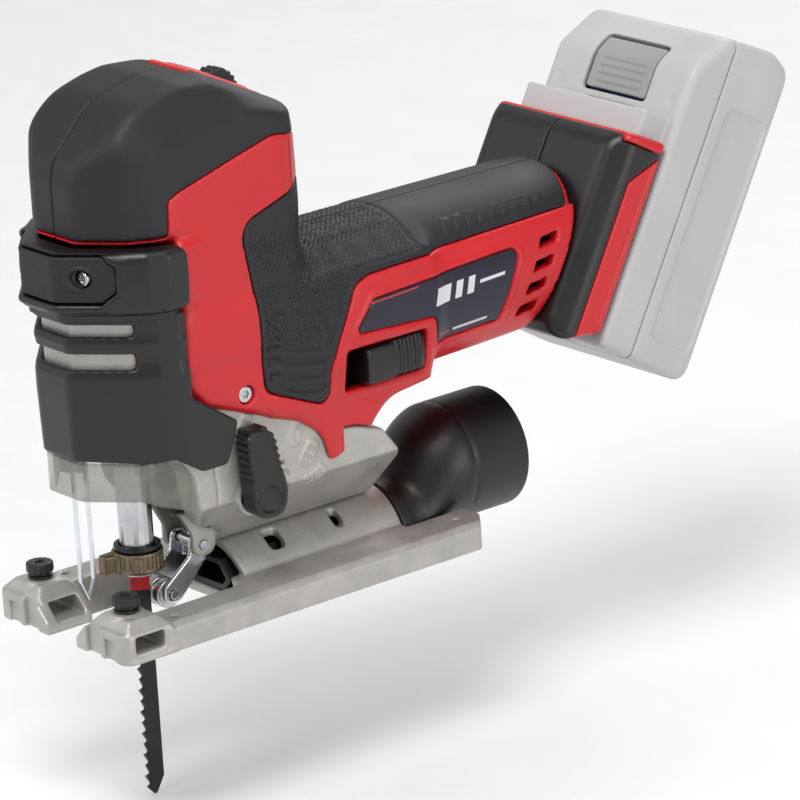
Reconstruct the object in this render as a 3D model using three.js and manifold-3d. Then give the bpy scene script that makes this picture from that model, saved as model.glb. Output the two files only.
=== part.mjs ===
// Cordless barrel-grip jigsaw with its battery pack, as an assembly of separate pieces.
// Millimetres. +Z is up, -Y is the cutting direction and +X is the operator's left hand.
// The pieces are laid out about the saw blade, which runs along Z at X = 0, Y = 0 with the
// sole's underside at Z = 0, and the whole tool is then moved so that the origin is the
// middle of the sole's underside.
import * as THREE from "three";
import { mergeVertices } from "three/addons/utils/BufferGeometryUtils.js";
import Module from "manifold-3d";

const wasm = await Module();
wasm.setup();

// ---------------------------------------------------------------- driving dimensions
const GAP = 0.3; // between pieces that are screwed, pressed or laid together
const RUN = 0.35; // between pieces that move on each other

// Sole and its saddle joint
const SOLE_WIDTH = 75;
const SOLE_FRONT = 34; // ahead of the blade
const SOLE_REAR = 128; // behind the blade
const SOLE_THICK = 10.5;
const SOLE_FLOOR = 4; // web that closes the underside below the tunnel
const FOOT_HEIGHT = 14.5; // the two blocks at the front
const FOOT_LENGTH = 20;
const FOOT_SPLIT = 16.2; // between the two feet at the underside
const BLADE_WINDOW = 26; // width of the opening round the blade at the underside
const WINDOW_REAR = 27;
const BEVEL_AXIS_Z = 2;
const TUNNEL_RADIUS = 20.4;
const TUNNEL_WALL = 3;
const TUNNEL_REAR = 101.7;
const GUIDE_SLOT_HEIGHT = 6;
const GUIDE_SLOT_LENGTH = 12;
const GUIDE_SLOT_FLOOR = 3.4;
const GUIDE_SCREW_X = 24.8;
const GUIDE_SCREW_Y = -24;
const KNOB_RADIUS = 4.8;
const KNOB_TOP = 20.4;
const CLAMP_SCREW_Y = 64;

// Head, barrel and their shells
const SHELL_HALF_WIDTH = 32.5;
const HEAD_TOP = 190;
const HEAD_REAR = 63;
const HEAD_FRONT = 25.5;
const CAP_BOTTOM = 142;
const BARREL_AXIS_Z = 93;
const BARREL_HALF_WIDTH = 31.5;
const BARREL_HALF_HEIGHT = 30.4;
const BARREL_REAR = 186;
const HOUSING_SCREW = [27.3, 80.1]; // Y and Z
const LABEL_DEPTH = 0.9;
const STRIP_HALF_WIDTH = 11;
const SKIN = 1.8; // soft cap and grip over the hard shell
const WALL = 2.1; // hard shell below the soft skin

// Nose: band, skirt and chip shield
const BAND_BOTTOM = 117;
const BAND_HALF_WIDTH = 36;
const BAND_FRONT = 33.4;
const SKIRT_BOTTOM = 66;
const SKIRT_HALF_WIDTH = 35;
const SKIRT_FRONT = 30;
const NOSE_WALL = 3;
const PAD_BOTTOM = 122;
const PAD_TOP = 138;
const PAD_HALF_WIDTH = 26;
const PAD_DEPTH = 1.8;
const BAND_SCREW_X = 16.5;
const BAND_SCREW_Z = 130.5;
const BAND_SCREW_FRONT = 26;
const SHIELD_BOTTOM = 51;
const SHIELD_WALL = 2;

// Gear housing
const CASTING_HALF_WIDTH = 28.5;
const CASTING_REAR = 97;
const CASTING_WALL = 3;
const FLANK_START = 14.4; // the 45 degree flanks keep clear of the sole at full bevel
const BUSH_RADIUS = 10;

// Drive
const STROKE = 26;
const GEAR_TEETH = 36;
const PINION_TEETH = 8;
const MODULE = 1.25;
const GEAR_FRONT = 22;
const GEAR_WIDTH = 8;
const AXLE_RADIUS = 3;
const YOKE_FRONT = 6.5;
const YOKE_BACK = 12.5;
const YOKE_HALF_HEIGHT = 7.5;
const BUSH_ABOVE_GEAR = 6.5; // from the gear's pitch circle to the middle of the upper bush
const YOKE_CLEARANCE = 2.5; // beside the yoke in the shells
const PLATE_FRONT = 38;
const PLATE_BACK = 43.5;
const PLUNGER_RADIUS = 6;
const PLUNGER_BOTTOM = 27;
const CRANK_PIN_RADIUS = 2.5;
const SHAFT_RADIUS = 2.5;
const STATOR_RADIUS = 20.3;
const ROTOR_RADIUS = 11;
const MOTOR_FRONT = 62;
const MOTOR_LENGTH = 40;
const FAN_BLADES = 9;
const MOTOR_POLES = 6;

// Blade and its guide
const BLADE_LENGTH = 100;
const BLADE_TOP = 34;
const BLADE_THICK = 1.2;
const BLADE_HALF = 3.75;
const TOOTH_PITCH = 4;
const TOOTH_DEPTH = 1.7;
const COLLAR_RADIUS = 8.8;
const COLLAR_TOP = 25;
const COLLAR_BOTTOM = 17.5;
const ROLLER_RADIUS = 5.2;
const ROLLER_Z = 6.5;
const ROLLER_HALF = 4.2;
const BRACKET_PIN_RADIUS = 1.6;
const ROLLER_AXLE_RADIUS = 1.5;
const BRACKET_PIVOT = [21.5, 22.3];
const BRACKET_HALF = 6.2;
const EAR_REACH = 9.3; // half width over the ears that carry the bracket
const SHEET = 1.5;
const GUARD_WIRE = 0.85;
const GUARD_SPACING = 5.3;

// Levers, switch and dust outlet
const LEVER_PIVOT = [30.5, 42.5];
const LEVER_REACH = 26.4;
const LEVER_THICK = 8;
const LEVER_SHAFT_RADIUS = 5;
const SWITCH_FRONT = 79;
const SWITCH_Z = 77;
const SWITCH_TRAVEL = 6.5;
const SWITCH_LENGTH = 27.4;
const SWITCH_HEIGHT = 13.6;
const SPEED_WHEEL_RADIUS = 9;
const SPEED_WHEEL_Y = 45;
const SPEED_WHEEL_Z = 176.8;
const SPEED_PIN_RADIUS = 1.5;
const SPEED_PIN_HALF = 9;
const PORT_RADIUS = 20.8;
const PORT_REAR = 159;
const PORT_BORE = 17.8;
const PORT_AXIS_Z = 21.5;
const PORT_WALL = 2.4;

// Battery foot and pack, in a frame that leans back with the slide
const FOOT_LEAN = 29; // degrees
const FOOT_HALF_WIDTH = 37.5;
const FOOT_FRONT = 105;
const FOOT_BACK = 128;
const FOOT_TOP = 214;
const FOOT_WALL = 3;
const TRIM_DEPTH = 12;
const TERMINAL_LOW = 158;
const TERMINAL_HIGH = 176;
const TERMINAL_HALF = 13;
const PACK_HALF_WIDTH = 37;
const PACK_DEPTH = 51.2;
const PACK_LENGTH = 121;
const PACK_LOW = 139;
const RAIL_HALF_WIDTH = 32;
const RAIL_DEPTH = 10.5;
const PACK_SEAM = 17; // from the pack's face to where its two halves meet
const PACK_WALL = 2.5;
const CELL_RADIUS = 9.2;

// ---------------------------------------------------------------- materials
const finish = (color, roughness, metalness = 0) =>
  new THREE.MeshStandardMaterial({ color, roughness, metalness });
const RED = finish(0xc4161c, 0.42);
const SOFT_BLACK = finish(0x232327, 0.75);
const HARD_BLACK = finish(0x17171a, 0.45);
const LABEL = finish(0x16142a, 0.35);
const CAST = finish(0xb8b5ad, 0.55, 0.85);
const STEEL = finish(0xa9abad, 0.3, 1);
const ZINC = finish(0xc9ccd0, 0.25, 1);
const BRONZE = finish(0x7d6850, 0.4, 1);
const BLADE_BLACK = finish(0x141416, 0.5, 0.4);
const SMOKE = finish(0x8b917d, 0.15);
const LAMINATION = finish(0x5c6066, 0.5, 0.9);
const BOARD = finish(0x1e5a3a, 0.5);
const PACK_GREY = finish(0xb4b5b6, 0.55);
const PACK_DARK = finish(0x98999b, 0.6);
const CELL_BLUE = finish(0x3c6ea5, 0.4);
const BRASS = finish(0xc9a24b, 0.3, 1);

// ---------------------------------------------------------------- solids
function solid(geometry, matrix, tolerance = 1e-4) {
  const bare = new THREE.BufferGeometry();
  const flat = geometry.index ? geometry.toNonIndexed() : geometry;
  bare.setAttribute("position", flat.getAttribute("position").clone());
  if (matrix) bare.applyMatrix4(matrix);
  const merged = mergeVertices(bare, tolerance);
  return new wasm.Manifold(
    new wasm.Mesh({
      numProp: 3,
      vertProperties: new Float32Array(merged.attributes.position.array),
      triVerts: new Uint32Array(merged.index.array),
    }),
  );
}

const join = (first, ...rest) => rest.reduce((sum, next) => sum.add(next), first);
const cut = (first, ...rest) => rest.reduce((left, next) => left.subtract(next), first);
const meet = (first, ...rest) => rest.reduce((both, next) => both.intersect(next), first);

// Corners are [a, b] or [a, b, radius]. Inset moves every edge inwards by that much.
function outline(corners, inset = 0, arcSteps = 2) {
  const area = corners.reduce((sum, [a, b], i) => {
    const [c, d] = corners[(i + 1) % corners.length];
    return sum + a * d - b * c;
  }, 0);
  const ring = area > 0 ? corners : [...corners].reverse();
  const count = ring.length;
  const edges = ring.map(([a, b], i) => {
    const [c, d] = ring[(i + 1) % count];
    const length = Math.hypot(c - a, d - b);
    return { ux: (c - a) / length, uy: (d - b) / length };
  });
  const moved = ring.map(([a, b, radius = 0], i) => {
    const before = edges[(i + count - 1) % count];
    const after = edges[i];
    const cross = before.ux * after.uy - before.uy * after.ux;
    const dot = before.ux * after.ux + before.uy * after.uy;
    const slide = (inset * (1 - dot)) / cross;
    const straight = Math.abs(cross) < 1e-6;
    const x = straight ? a - inset * after.uy : a - inset * before.uy - slide * before.ux;
    const y = straight ? b + inset * after.ux : b + inset * before.ux - slide * before.uy;
    const kept = cross > 0 ? Math.max(radius - inset, 0) : radius + inset * Math.sign(radius);
    return { x, y, radius: straight ? 0 : kept, before, after, cross, dot };
  });
  return moved.flatMap(({ x, y, radius, before, after, cross, dot }) => {
    if (radius < 0.05) return [new THREE.Vector2(x, y)];
    const half = Math.atan2(Math.abs(cross), dot) / 2;
    const reach = radius * Math.tan(half);
    const side = Math.sign(cross);
    const centreX = x - before.ux * reach - side * before.uy * radius;
    const centreY = y - before.uy * reach + side * before.ux * radius;
    const start = Math.atan2(-side * before.ux, side * before.uy);
    return Array.from({ length: arcSteps + 1 }, (_, step) => {
      const angle = start + side * half * 2 * (step / arcSteps);
      return new THREE.Vector2(
        centreX + radius * Math.cos(angle),
        centreY + radius * Math.sin(angle),
      );
    });
  });
}

const circle = (radius, a = 0, b = 0, sides = 20) =>
  Array.from({ length: sides }, (_, i) => {
    const angle = ((i + 0.5) / sides) * 2 * Math.PI;
    return new THREE.Vector2(a + radius * Math.cos(angle), b + radius * Math.sin(angle));
  });

const rectangle = (a0, a1, b0, b1, radius = 0, arcSteps = 2) =>
  outline([[a0, b0, radius], [a1, b0, radius], [a1, b1, radius], [a0, b1, radius]], 0, arcSteps);

// An outline with its mirror image in the second axis: corners run along the +a side.
const mirrored = (half) => [...half, ...half.map(([a, b, r]) => [-a, b, r]).reverse()];

function prism(points, from, to, basis) {
  const shape = new THREE.Shape(points);
  const geometry = new THREE.ExtrudeGeometry(shape, {
    depth: to - from,
    bevelEnabled: false,
    steps: 1,
  });
  geometry.translate(0, 0, from);
  return solid(geometry, basis);
}

const AXIS_X = new THREE.Vector3(1, 0, 0);
const AXIS_Y = new THREE.Vector3(0, 1, 0);
const AXIS_Z = new THREE.Vector3(0, 0, 1);
const ALONG_X = new THREE.Matrix4().makeBasis(AXIS_Y, AXIS_Z, AXIS_X);
const ALONG_Y = new THREE.Matrix4().makeBasis(AXIS_X, AXIS_Z, AXIS_Y.clone().negate());
const ALONG_Z = new THREE.Matrix4();

// prismX takes an outline in Y and Z, prismY one in X and Z, prismZ one in X and Y.
const prismX = (points, from, to) => prism(points, from, to, ALONG_X);
const prismY = (points, from, to) => prism(points, -to, -from, ALONG_Y);
const prismZ = (points, from, to) => prism(points, from, to, ALONG_Z);

const FAR = 60; // beyond the tool on every side of its middle plane
const box = (x0, x1, y0, y1, z0, z1) => prismZ(rectangle(x0, x1, y0, y1), z0, z1);

const LEAN = new THREE.Matrix4().makeRotationX(THREE.MathUtils.degToRad(-FOOT_LEAN));
// A turn about the motor's axis.
const aboutBarrel = (angle) =>
  new THREE.Matrix4()
    .makeTranslation(0, 0, BARREL_AXIS_Z)
    .multiply(new THREE.Matrix4().makeRotationY(angle));
const placed = (shape, matrix) => solid(geometryOf(shape), matrix);

function geometryOf(shape) {
  const { vertProperties, triVerts, numProp } = shape.getMesh();
  const positions = new Float32Array(triVerts.length * 3);
  triVerts.forEach((vertex, i) => {
    for (let axis = 0; axis < 3; axis++) {
      positions[i * 3 + axis] = vertProperties[vertex * numProp + axis];
    }
  });
  const geometry = new THREE.BufferGeometry();
  geometry.setAttribute("position", new THREE.BufferAttribute(positions, 3));
  geometry.computeVertexNormals();
  return geometry;
}

const SLIVER = 0.01;
const WELD = 1e-3;
const ORIGIN_Y = -(SOLE_REAR - SOLE_FRONT) / 2;
const tool = new THREE.Group();
tool.position.y = ORIGIN_Y;

// Cuts between near-parallel faces leave slivers a few micrometres thick. Edges that short are
// closed up, and the loose slivers that come free are left out.
const whole = (shape) =>
  solid(geometryOf(shape.asOriginal().simplify(SLIVER)), null, WELD)
    .decompose()
    .reduce((best, next) => (next.volume() > best.volume() ? next : best));

function piece(name, shape, material) {
  const mesh = new THREE.Mesh(geometryOf(whole(shape)), material);
  mesh.name = name;
  tool.add(mesh);
}

const leftOf = (x) => box(x, 100, -150, 350, -50, 350);
const rightOf = (x) => box(-100, x, -150, 350, -50, 350);

// A piece cut into its left and right halves, with the seam at X = 0.
function pair(name, shape, material) {
  piece(`${name}_left`, meet(shape, leftOf(GAP / 2)), material);
  piece(`${name}_right`, meet(shape, rightOf(-GAP / 2)), material);
}

// ---------------------------------------------------------------- places along the drive
const CRANK_RADIUS = STROKE / 2;
const GEAR_AXIS_Z = BARREL_AXIS_Z + ((GEAR_TEETH + PINION_TEETH) * MODULE) / 2 + 0.35;
const YOKE_Z = GEAR_AXIS_Z - CRANK_RADIUS;
const YOKE_HALF = CRANK_RADIUS + CRANK_PIN_RADIUS + 4;
const UPPER_BUSH_Z = GEAR_AXIS_Z + (GEAR_TEETH * MODULE) / 2 + BUSH_ABOVE_GEAR;

// ---------------------------------------------------------------- housing outlines
const HEAD_SIDE = [
  [3, 95], [3, CAP_BOTTOM - 2, 2], [-HEAD_FRONT, CAP_BOTTOM - 2], [-HEAD_FRONT, HEAD_TOP - 24, 14],
  [-6, HEAD_TOP - 4.6, 20], [14, HEAD_TOP, 10], [28, HEAD_TOP, 6], [HEAD_REAR - 5, HEAD_TOP - 15, 5],
  [HEAD_REAR - 1, HEAD_TOP - 25, 5], [HEAD_REAR + 1, CAP_BOTTOM, 10], [HEAD_REAR, 95],
];
const HEAD_PLAN = mirrored([
  [11, -HEAD_FRONT, 7], [26, -13.6, 8], [SHELL_HALF_WIDTH - 1.5, -5, 8], [SHELL_HALF_WIDTH, 5, 10],
  [SHELL_HALF_WIDTH, HEAD_REAR - 12, 9], [20, HEAD_REAR + 2, 9],
]);
const HEAD_FACE = mirrored([
  [SHELL_HALF_WIDTH, 80], [SHELL_HALF_WIDTH, CAP_BOTTOM, 12],
  [SHELL_HALF_WIDTH - 2.5, HEAD_TOP - 24, 7], [23, HEAD_TOP - 7, 7], [9, HEAD_TOP + 0.5, 6],
]);
const LOWER_SIDE = [
  [9.3, 79.3, 4], [3, 88, 6], [3, 112], [112, 112], [112, 64], [92, 61.5, 14],
  [84.5, 54, 8], [81, 43.6, 4], [61.6, 45.2, 3], [59, 57, 12], [50, 64, 6], [22, 74.8, 6],
];
const LOWER_PLAN = mirrored([
  [SHELL_HALF_WIDTH, 2], [SHELL_HALF_WIDTH, 50, 10], [29, 72, 10], [29, 112],
]);
const BARREL_SIDE = [
  [40, 61], [108, 62.6, 30], [BARREL_REAR - 20, 69],
  [BARREL_REAR + 60, 69], [BARREL_REAR + 60, 130], [40, 130],
];
const CAP_ZONE = [
  [-60, CAP_BOTTOM], [0, CAP_BOTTOM], [0.5, 154, 2], [5, 156.2], [31, 163.5], [46, 167.5, 8],
  [90, 158], [90, 220], [-60, 220],
];
const GRIP_ZONE = [
  [90, 151], [60, 149], [30, 139.5, 6], [30, 133, 6], [33.5, 112], [35.2, 79, 4], [63.7, 66.8, 3],
  [64, 80, 4], [68, 90], [77, 107, 6], [84, 109.3],
  [BARREL_REAR - 3, 111.5], [BARREL_REAR - 3, 160],
];

function barrelSection(inset) {
  const sides = 28;
  const squareness = 2.25;
  return Array.from({ length: sides }, (_, i) => {
    const angle = ((i + 0.5) / sides) * 2 * Math.PI;
    const c = Math.cos(angle);
    const s = Math.sin(angle);
    const size = (Math.abs(c) ** squareness + Math.abs(s) ** squareness) ** (-1 / squareness);
    return new THREE.Vector2(
      (BARREL_HALF_WIDTH - inset) * size * c,
      BARREL_AXIS_Z + (BARREL_HALF_HEIGHT - inset) * size * s,
    );
  });
}

// The outer form of head, trigger guard and barrel, moved inwards by the inset. The barrel's
// open rear end is moved along by the reach.
function bodyForm(inset, reach = 0) {
  const half = SHELL_HALF_WIDTH + 5;
  const head = meet(
    prismX(outline(HEAD_SIDE, inset), -half, half),
    prismZ(outline(HEAD_PLAN, inset), 80, HEAD_TOP + 5),
    prismY(outline(HEAD_FACE, inset), -HEAD_FRONT - 5, HEAD_REAR + 20),
  );
  const lower = meet(
    prismX(outline(LOWER_SIDE, inset), -half, half),
    prismZ(outline(LOWER_PLAN, inset), 30, 130),
  );
  const barrel = meet(
    prismY(barrelSection(inset), 44 - inset, BARREL_REAR + 40),
    prismX(outline(BARREL_SIDE, inset), -half, half),
    placed(box(-50, 50, -200, FOOT_FRONT - GAP + reach, -100, 300), LEAN),
  );
  return join(head, lower, barrel);
}

const FORM = bodyForm(0);
const BELOW_SKIN = bodyForm(SKIN, 3);
const UNDER_SKIN = bodyForm(SKIN + GAP, -0.5);
const HOLLOW = bodyForm(SKIN + GAP + WALL, 3);

// ---------------------------------------------------------------- shells
const wide = (corners, inset = 0) => prismX(outline(corners, inset), -FAR, FAR);
const crossBar = (radius, [y, z], from, to, sides = 12) =>
  prismX(circle(radius, y, z, sides), from, to);
const SPEED_WHEEL = [SPEED_WHEEL_Y, SPEED_WHEEL_Z];
const LABEL_ZONE = [
  [84, 100.5, 1], [152.2, 103.7, 2], [141.4, 79, 1],
  [112.4, 77.6, 1], [111.3, 88.2, 2], [75.2, 90, 1],
];
const STRIP_ZONE = [
  [26, 170], [26, 200], [HEAD_REAR, 200], [HEAD_REAR, 174], [HEAD_REAR - 8, 170],
];

function noseOutline(halfWidth, front, rear, inset = 0) {
  return outline(
    mirrored([
      [9.5, -front, 6], [25, -front + 13, 8], [halfWidth - 3, -front + 22, 4],
      [halfWidth, -front + 29], [halfWidth, rear],
    ]),
    inset,
  );
}

function shells() {
  const soft = cut(FORM, BELOW_SKIN, UNDER_SKIN);
  const stripZone = (inset) =>
    meet(
      wide(STRIP_ZONE, inset),
      box(-STRIP_HALF_WIDTH + inset, STRIP_HALF_WIDTH - inset, 20, 80, 160, HEAD_TOP + 10),
    );
  const wheelWell = crossBar(SPEED_WHEEL_RADIUS + 1, SPEED_WHEEL, -4, 4, 20);
  pair("head_cap", cut(meet(soft, wide(CAP_ZONE)), stripZone(0)), SOFT_BLACK);
  pair("grip", meet(soft, wide(GRIP_ZONE)), SOFT_BLACK);
  piece(
    "speed_bezel",
    cut(meet(FORM, stripZone(GAP)), UNDER_SKIN, BELOW_SKIN, wheelWell),
    RED,
  );

  const zones = join(wide(CAP_ZONE, -GAP), wide(GRIP_ZONE, -GAP));
  const labelPocket = cut(wide(LABEL_ZONE, -GAP), bodyForm(LABEL_DEPTH + GAP, 9));
  const window = prismX(
    rectangle(
      SWITCH_FRONT - SWITCH_TRAVEL - 1,
      SWITCH_FRONT + SWITCH_LENGTH + 0.6,
      SWITCH_Z - SWITCH_HEIGHT / 2 - 0.6,
      SWITCH_Z + SWITCH_HEIGHT / 2 + 0.6,
    ),
    -60,
    60,
  );
  const slots = [0, 1, 2, 3].map((row) =>
    wide([
      [150 + row * 3.6, 78 + row * 7.6], [157 + row * 3, 79 + row * 7.6],
      [158 + row * 3, 82 + row * 7.6], [151 + row * 3.6, 81 + row * 7.6],
    ]),
  );
  const sideSkin = join(leftOf(24), rightOf(-24));
  const noseRoom = prismZ(
    noseOutline(SKIRT_HALF_WIDTH + 4, SKIRT_FRONT + 10, 2.9),
    30,
    CAP_BOTTOM - 2 - GAP,
  );
  const throatHalf = YOKE_HALF + YOKE_CLEARANCE;
  const throat = join(
    box(-throatHalf, throatHalf, -30, 56, 40, CAP_BOTTOM - 2.3),
    box(-17, 17, -13, 56, CAP_BOTTOM - 3, CAP_BOTTOM + 8),
  );
  const motorDoor = prismY(circle(SHELL_HALF_WIDTH - 11.5, 0, BARREL_AXIS_Z, 20), 40, 70);
  const rearDoor = prismY(circle(18, 0, BARREL_AXIS_Z, 20), 150, 220);
  const housing = cut(
    join(cut(FORM, zones), UNDER_SKIN),
    HOLLOW,
    labelPocket,
    window,
    meet(join(...slots), sideSkin),
    noseRoom,
    throat,
    motorDoor,
    rearDoor,
    wheelWell,
    crossBar(SPEED_PIN_RADIUS + GAP, SPEED_WHEEL, -SPEED_PIN_HALF - GAP, SPEED_PIN_HALF + GAP),
    crossBar(3.2, HOUSING_SCREW, 20, FAR),
    castingEnvelope(GAP),
  );
  pair("housing", housing, RED);
  const plate = meet(cut(FORM, bodyForm(LABEL_DEPTH, 3)), wide(LABEL_ZONE), sideSkin);
  piece("label_left", meet(plate, leftOf(20)), LABEL);
  piece("label_right", meet(plate, rightOf(-20)), LABEL);
}

// ---------------------------------------------------------------- gear housing
const CASTING_SIDE = [
  [13, 32.5, 3], [8, 40, 6], [5, 56, 4], [0, 62], [0, 90], [58, 90],
  [60, 58], [76, 56], [CASTING_REAR - 9, 52], [CASTING_REAR, 40, 3],
  [CASTING_REAR, 10], [27, 10], [27, 27, 3],
];

function castingEnvelope(grow) {
  const wedge = CASTING_HALF_WIDTH + grow;
  return meet(
    wide(CASTING_SIDE, -grow),
    prismY(
      outline([
        [0, FLANK_START - grow * 1.5], [wedge, FLANK_START + wedge - grow * 2.5],
        [wedge, 120], [-wedge, 120], [-wedge, FLANK_START + wedge - grow * 2.5],
      ]),
      -FAR,
      2 * FAR,
    ),
  );
}

function gearHousing() {
  const saddle = prismY(circle(TUNNEL_RADIUS + RUN, 0, BEVEL_AXIS_Z, 36), -FAR, 2 * FAR);
  const columnPlan = (inset) =>
    noseOutline(SKIRT_HALF_WIDTH, SKIRT_FRONT, 2.2 + inset, inset);
  const column = prismZ(columnPlan(NOSE_WALL + GAP), SKIRT_BOTTOM + 3, BAND_BOTTOM - GAP);
  const throat = box(-17, 17, -60, 20, 10, 61);
  const rearPocket = box(-15, 15, 19, 42, 30, 61);
  const bushBore = prismZ(circle(BUSH_RADIUS + GAP), 50, 90);
  const roomHalf = CASTING_HALF_WIDTH - CASTING_WALL - 1;
  const gearRoom = meet(
    box(-roomHalf, roomHalf, -FAR, 37, 76, 140),
    prismZ(outline(mirrored([[5, -20], [22, -9], [roomHalf, 0], [roomHalf, FAR]])), 70, 140),
  );
  const shaftRoom = prismY(circle(14, 0, BARREL_AXIS_Z, 20), 30, 70);
  const leverBore = crossBar(LEVER_SHAFT_RADIUS + RUN, LEVER_PIVOT, 10, 40, 20);
  const casting = cut(
    join(column, castingEnvelope(0)),
    saddle,
    throat,
    rearPocket,
    bushBore,
    gearRoom,
    shaftRoom,
    leverBore,
    box(-FAR, FAR, PLATE_FRONT - 0.8, 70, 74, 120),
    crossBar(1.8, HOUSING_SCREW, 20, FAR),
  );
  const earSide = outline([
    [17, 18, 4.6], [27, 18, 4.6], [27, 27, 3], [24, 36], [12, 36], [17, 27, 3],
  ]);
  const ears = cut(
    prismX(earSide, -EAR_REACH, EAR_REACH),
    box(-BRACKET_HALF - 0.8, BRACKET_HALF + 0.8, 10, 40, 0, 32.5),
  );
  const pinBore = crossBar(BRACKET_PIN_RADIUS + GAP, BRACKET_PIVOT, -FAR, FAR);
  piece("gear_housing", cut(join(casting, ears), pinBore, throat, rearPocket), CAST);
  piece("bracket_pin", crossBar(BRACKET_PIN_RADIUS, BRACKET_PIVOT, -EAR_REACH, EAR_REACH), STEEL);
}

// ---------------------------------------------------------------- nose
function nose() {
  const bandBody = (inset, z0, z1) =>
    prismZ(noseOutline(BAND_HALF_WIDTH, BAND_FRONT, 3 - GAP, inset), z0, z1);
  const hollow = prismZ(noseOutline(SHELL_HALF_WIDTH + 6, SKIRT_FRONT, 20, 6), 0, 200);
  const padFace = (inset) =>
    prismY(
      outline(
        mirrored([
          [PAD_HALF_WIDTH - 4, PAD_BOTTOM], [PAD_HALF_WIDTH, PAD_BOTTOM + 4],
          [PAD_HALF_WIDTH, PAD_TOP - 4], [PAD_HALF_WIDTH - 4, PAD_TOP],
        ]),
        inset,
      ),
      -FAR,
      -10,
    );
  const bores = join(
    ...[1, -1].map((side) => prismY(circle(3, side * BAND_SCREW_X, BAND_SCREW_Z, 16), -FAR, 10)),
  );
  const band = bandBody(0, BAND_BOTTOM, CAP_BOTTOM - 2 - GAP);
  const padPocket = meet(cut(band, bandBody(PAD_DEPTH, 0, 200)), padFace(-GAP));
  piece("front_band", cut(band, hollow, padPocket, bores), HARD_BLACK);
  const padBlank = cut(band, bandBody(PAD_DEPTH - GAP, 0, 200));
  piece("front_pad", cut(meet(padBlank, padFace(0)), bores), SOFT_BLACK);
  [1, -1].forEach((side) => {
    const screw = join(
      prismY(
        circle(2.6, side * BAND_SCREW_X, BAND_SCREW_Z, 14),
        -BAND_SCREW_FRONT,
        -BAND_SCREW_FRONT + 2.4,
      ),
      prismY(circle(1.6, side * BAND_SCREW_X, BAND_SCREW_Z, 10), -BAND_SCREW_FRONT + 2.4, -20),
    );
    piece(`band_screw_${side > 0 ? "left" : "right"}`, screw, STEEL);
  });

  const skirtPlan = (inset, rear) => noseOutline(SKIRT_HALF_WIDTH, SKIRT_FRONT, rear, inset);
  const skirtSide = [
    [-FAR, SKIRT_BOTTOM + 1], [-12, SKIRT_BOTTOM - 1.5], [-4, SKIRT_BOTTOM - 1],
    [6, 58.5, 2], [16.5, 58.5, 2], [21.5, 73], [2.7, 86],
    [2.7, BAND_BOTTOM - GAP], [-FAR, BAND_BOTTOM - GAP],
  ];
  const louvre = (z, height) => box(-FAR, FAR, -FAR, -12, z, z + height);
  const skirt = cut(
    meet(prismZ(skirtPlan(0, 30), 50, BAND_BOTTOM), wide(skirtSide)),
    prismZ(skirtPlan(NOSE_WALL, 60), 40, 130),
    louvre(109.5, 4),
    louvre(100.5, 5),
    meet(join(leftOf(20), rightOf(-20)), bodyForm(-GAP)),
    castingEnvelope(GAP),
  );
  piece("front_skirt", skirt, HARD_BLACK);

  const shieldPlan = (inset, rear) => noseOutline(31, SKIRT_FRONT - 2, rear, inset);
  const shieldSide = [
    [-FAR, SHIELD_BOTTOM], [-14, SHIELD_BOTTOM], [-8, SHIELD_BOTTOM - 3, 2],
    [2, SHIELD_BOTTOM - 6, 2], [4, SKIRT_BOTTOM - 8], [-5, SKIRT_BOTTOM - 2],
    [-14, SKIRT_BOTTOM - 2], [-FAR, SKIRT_BOTTOM - 0.5],
  ];
  const shield = cut(
    meet(prismZ(shieldPlan(0, 2), 40, 80), wide(shieldSide)),
    prismZ(shieldPlan(SHIELD_WALL, 60), 30, 90),
    castingEnvelope(GAP),
  );
  piece("chip_shield", shield, SMOKE);
}

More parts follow.
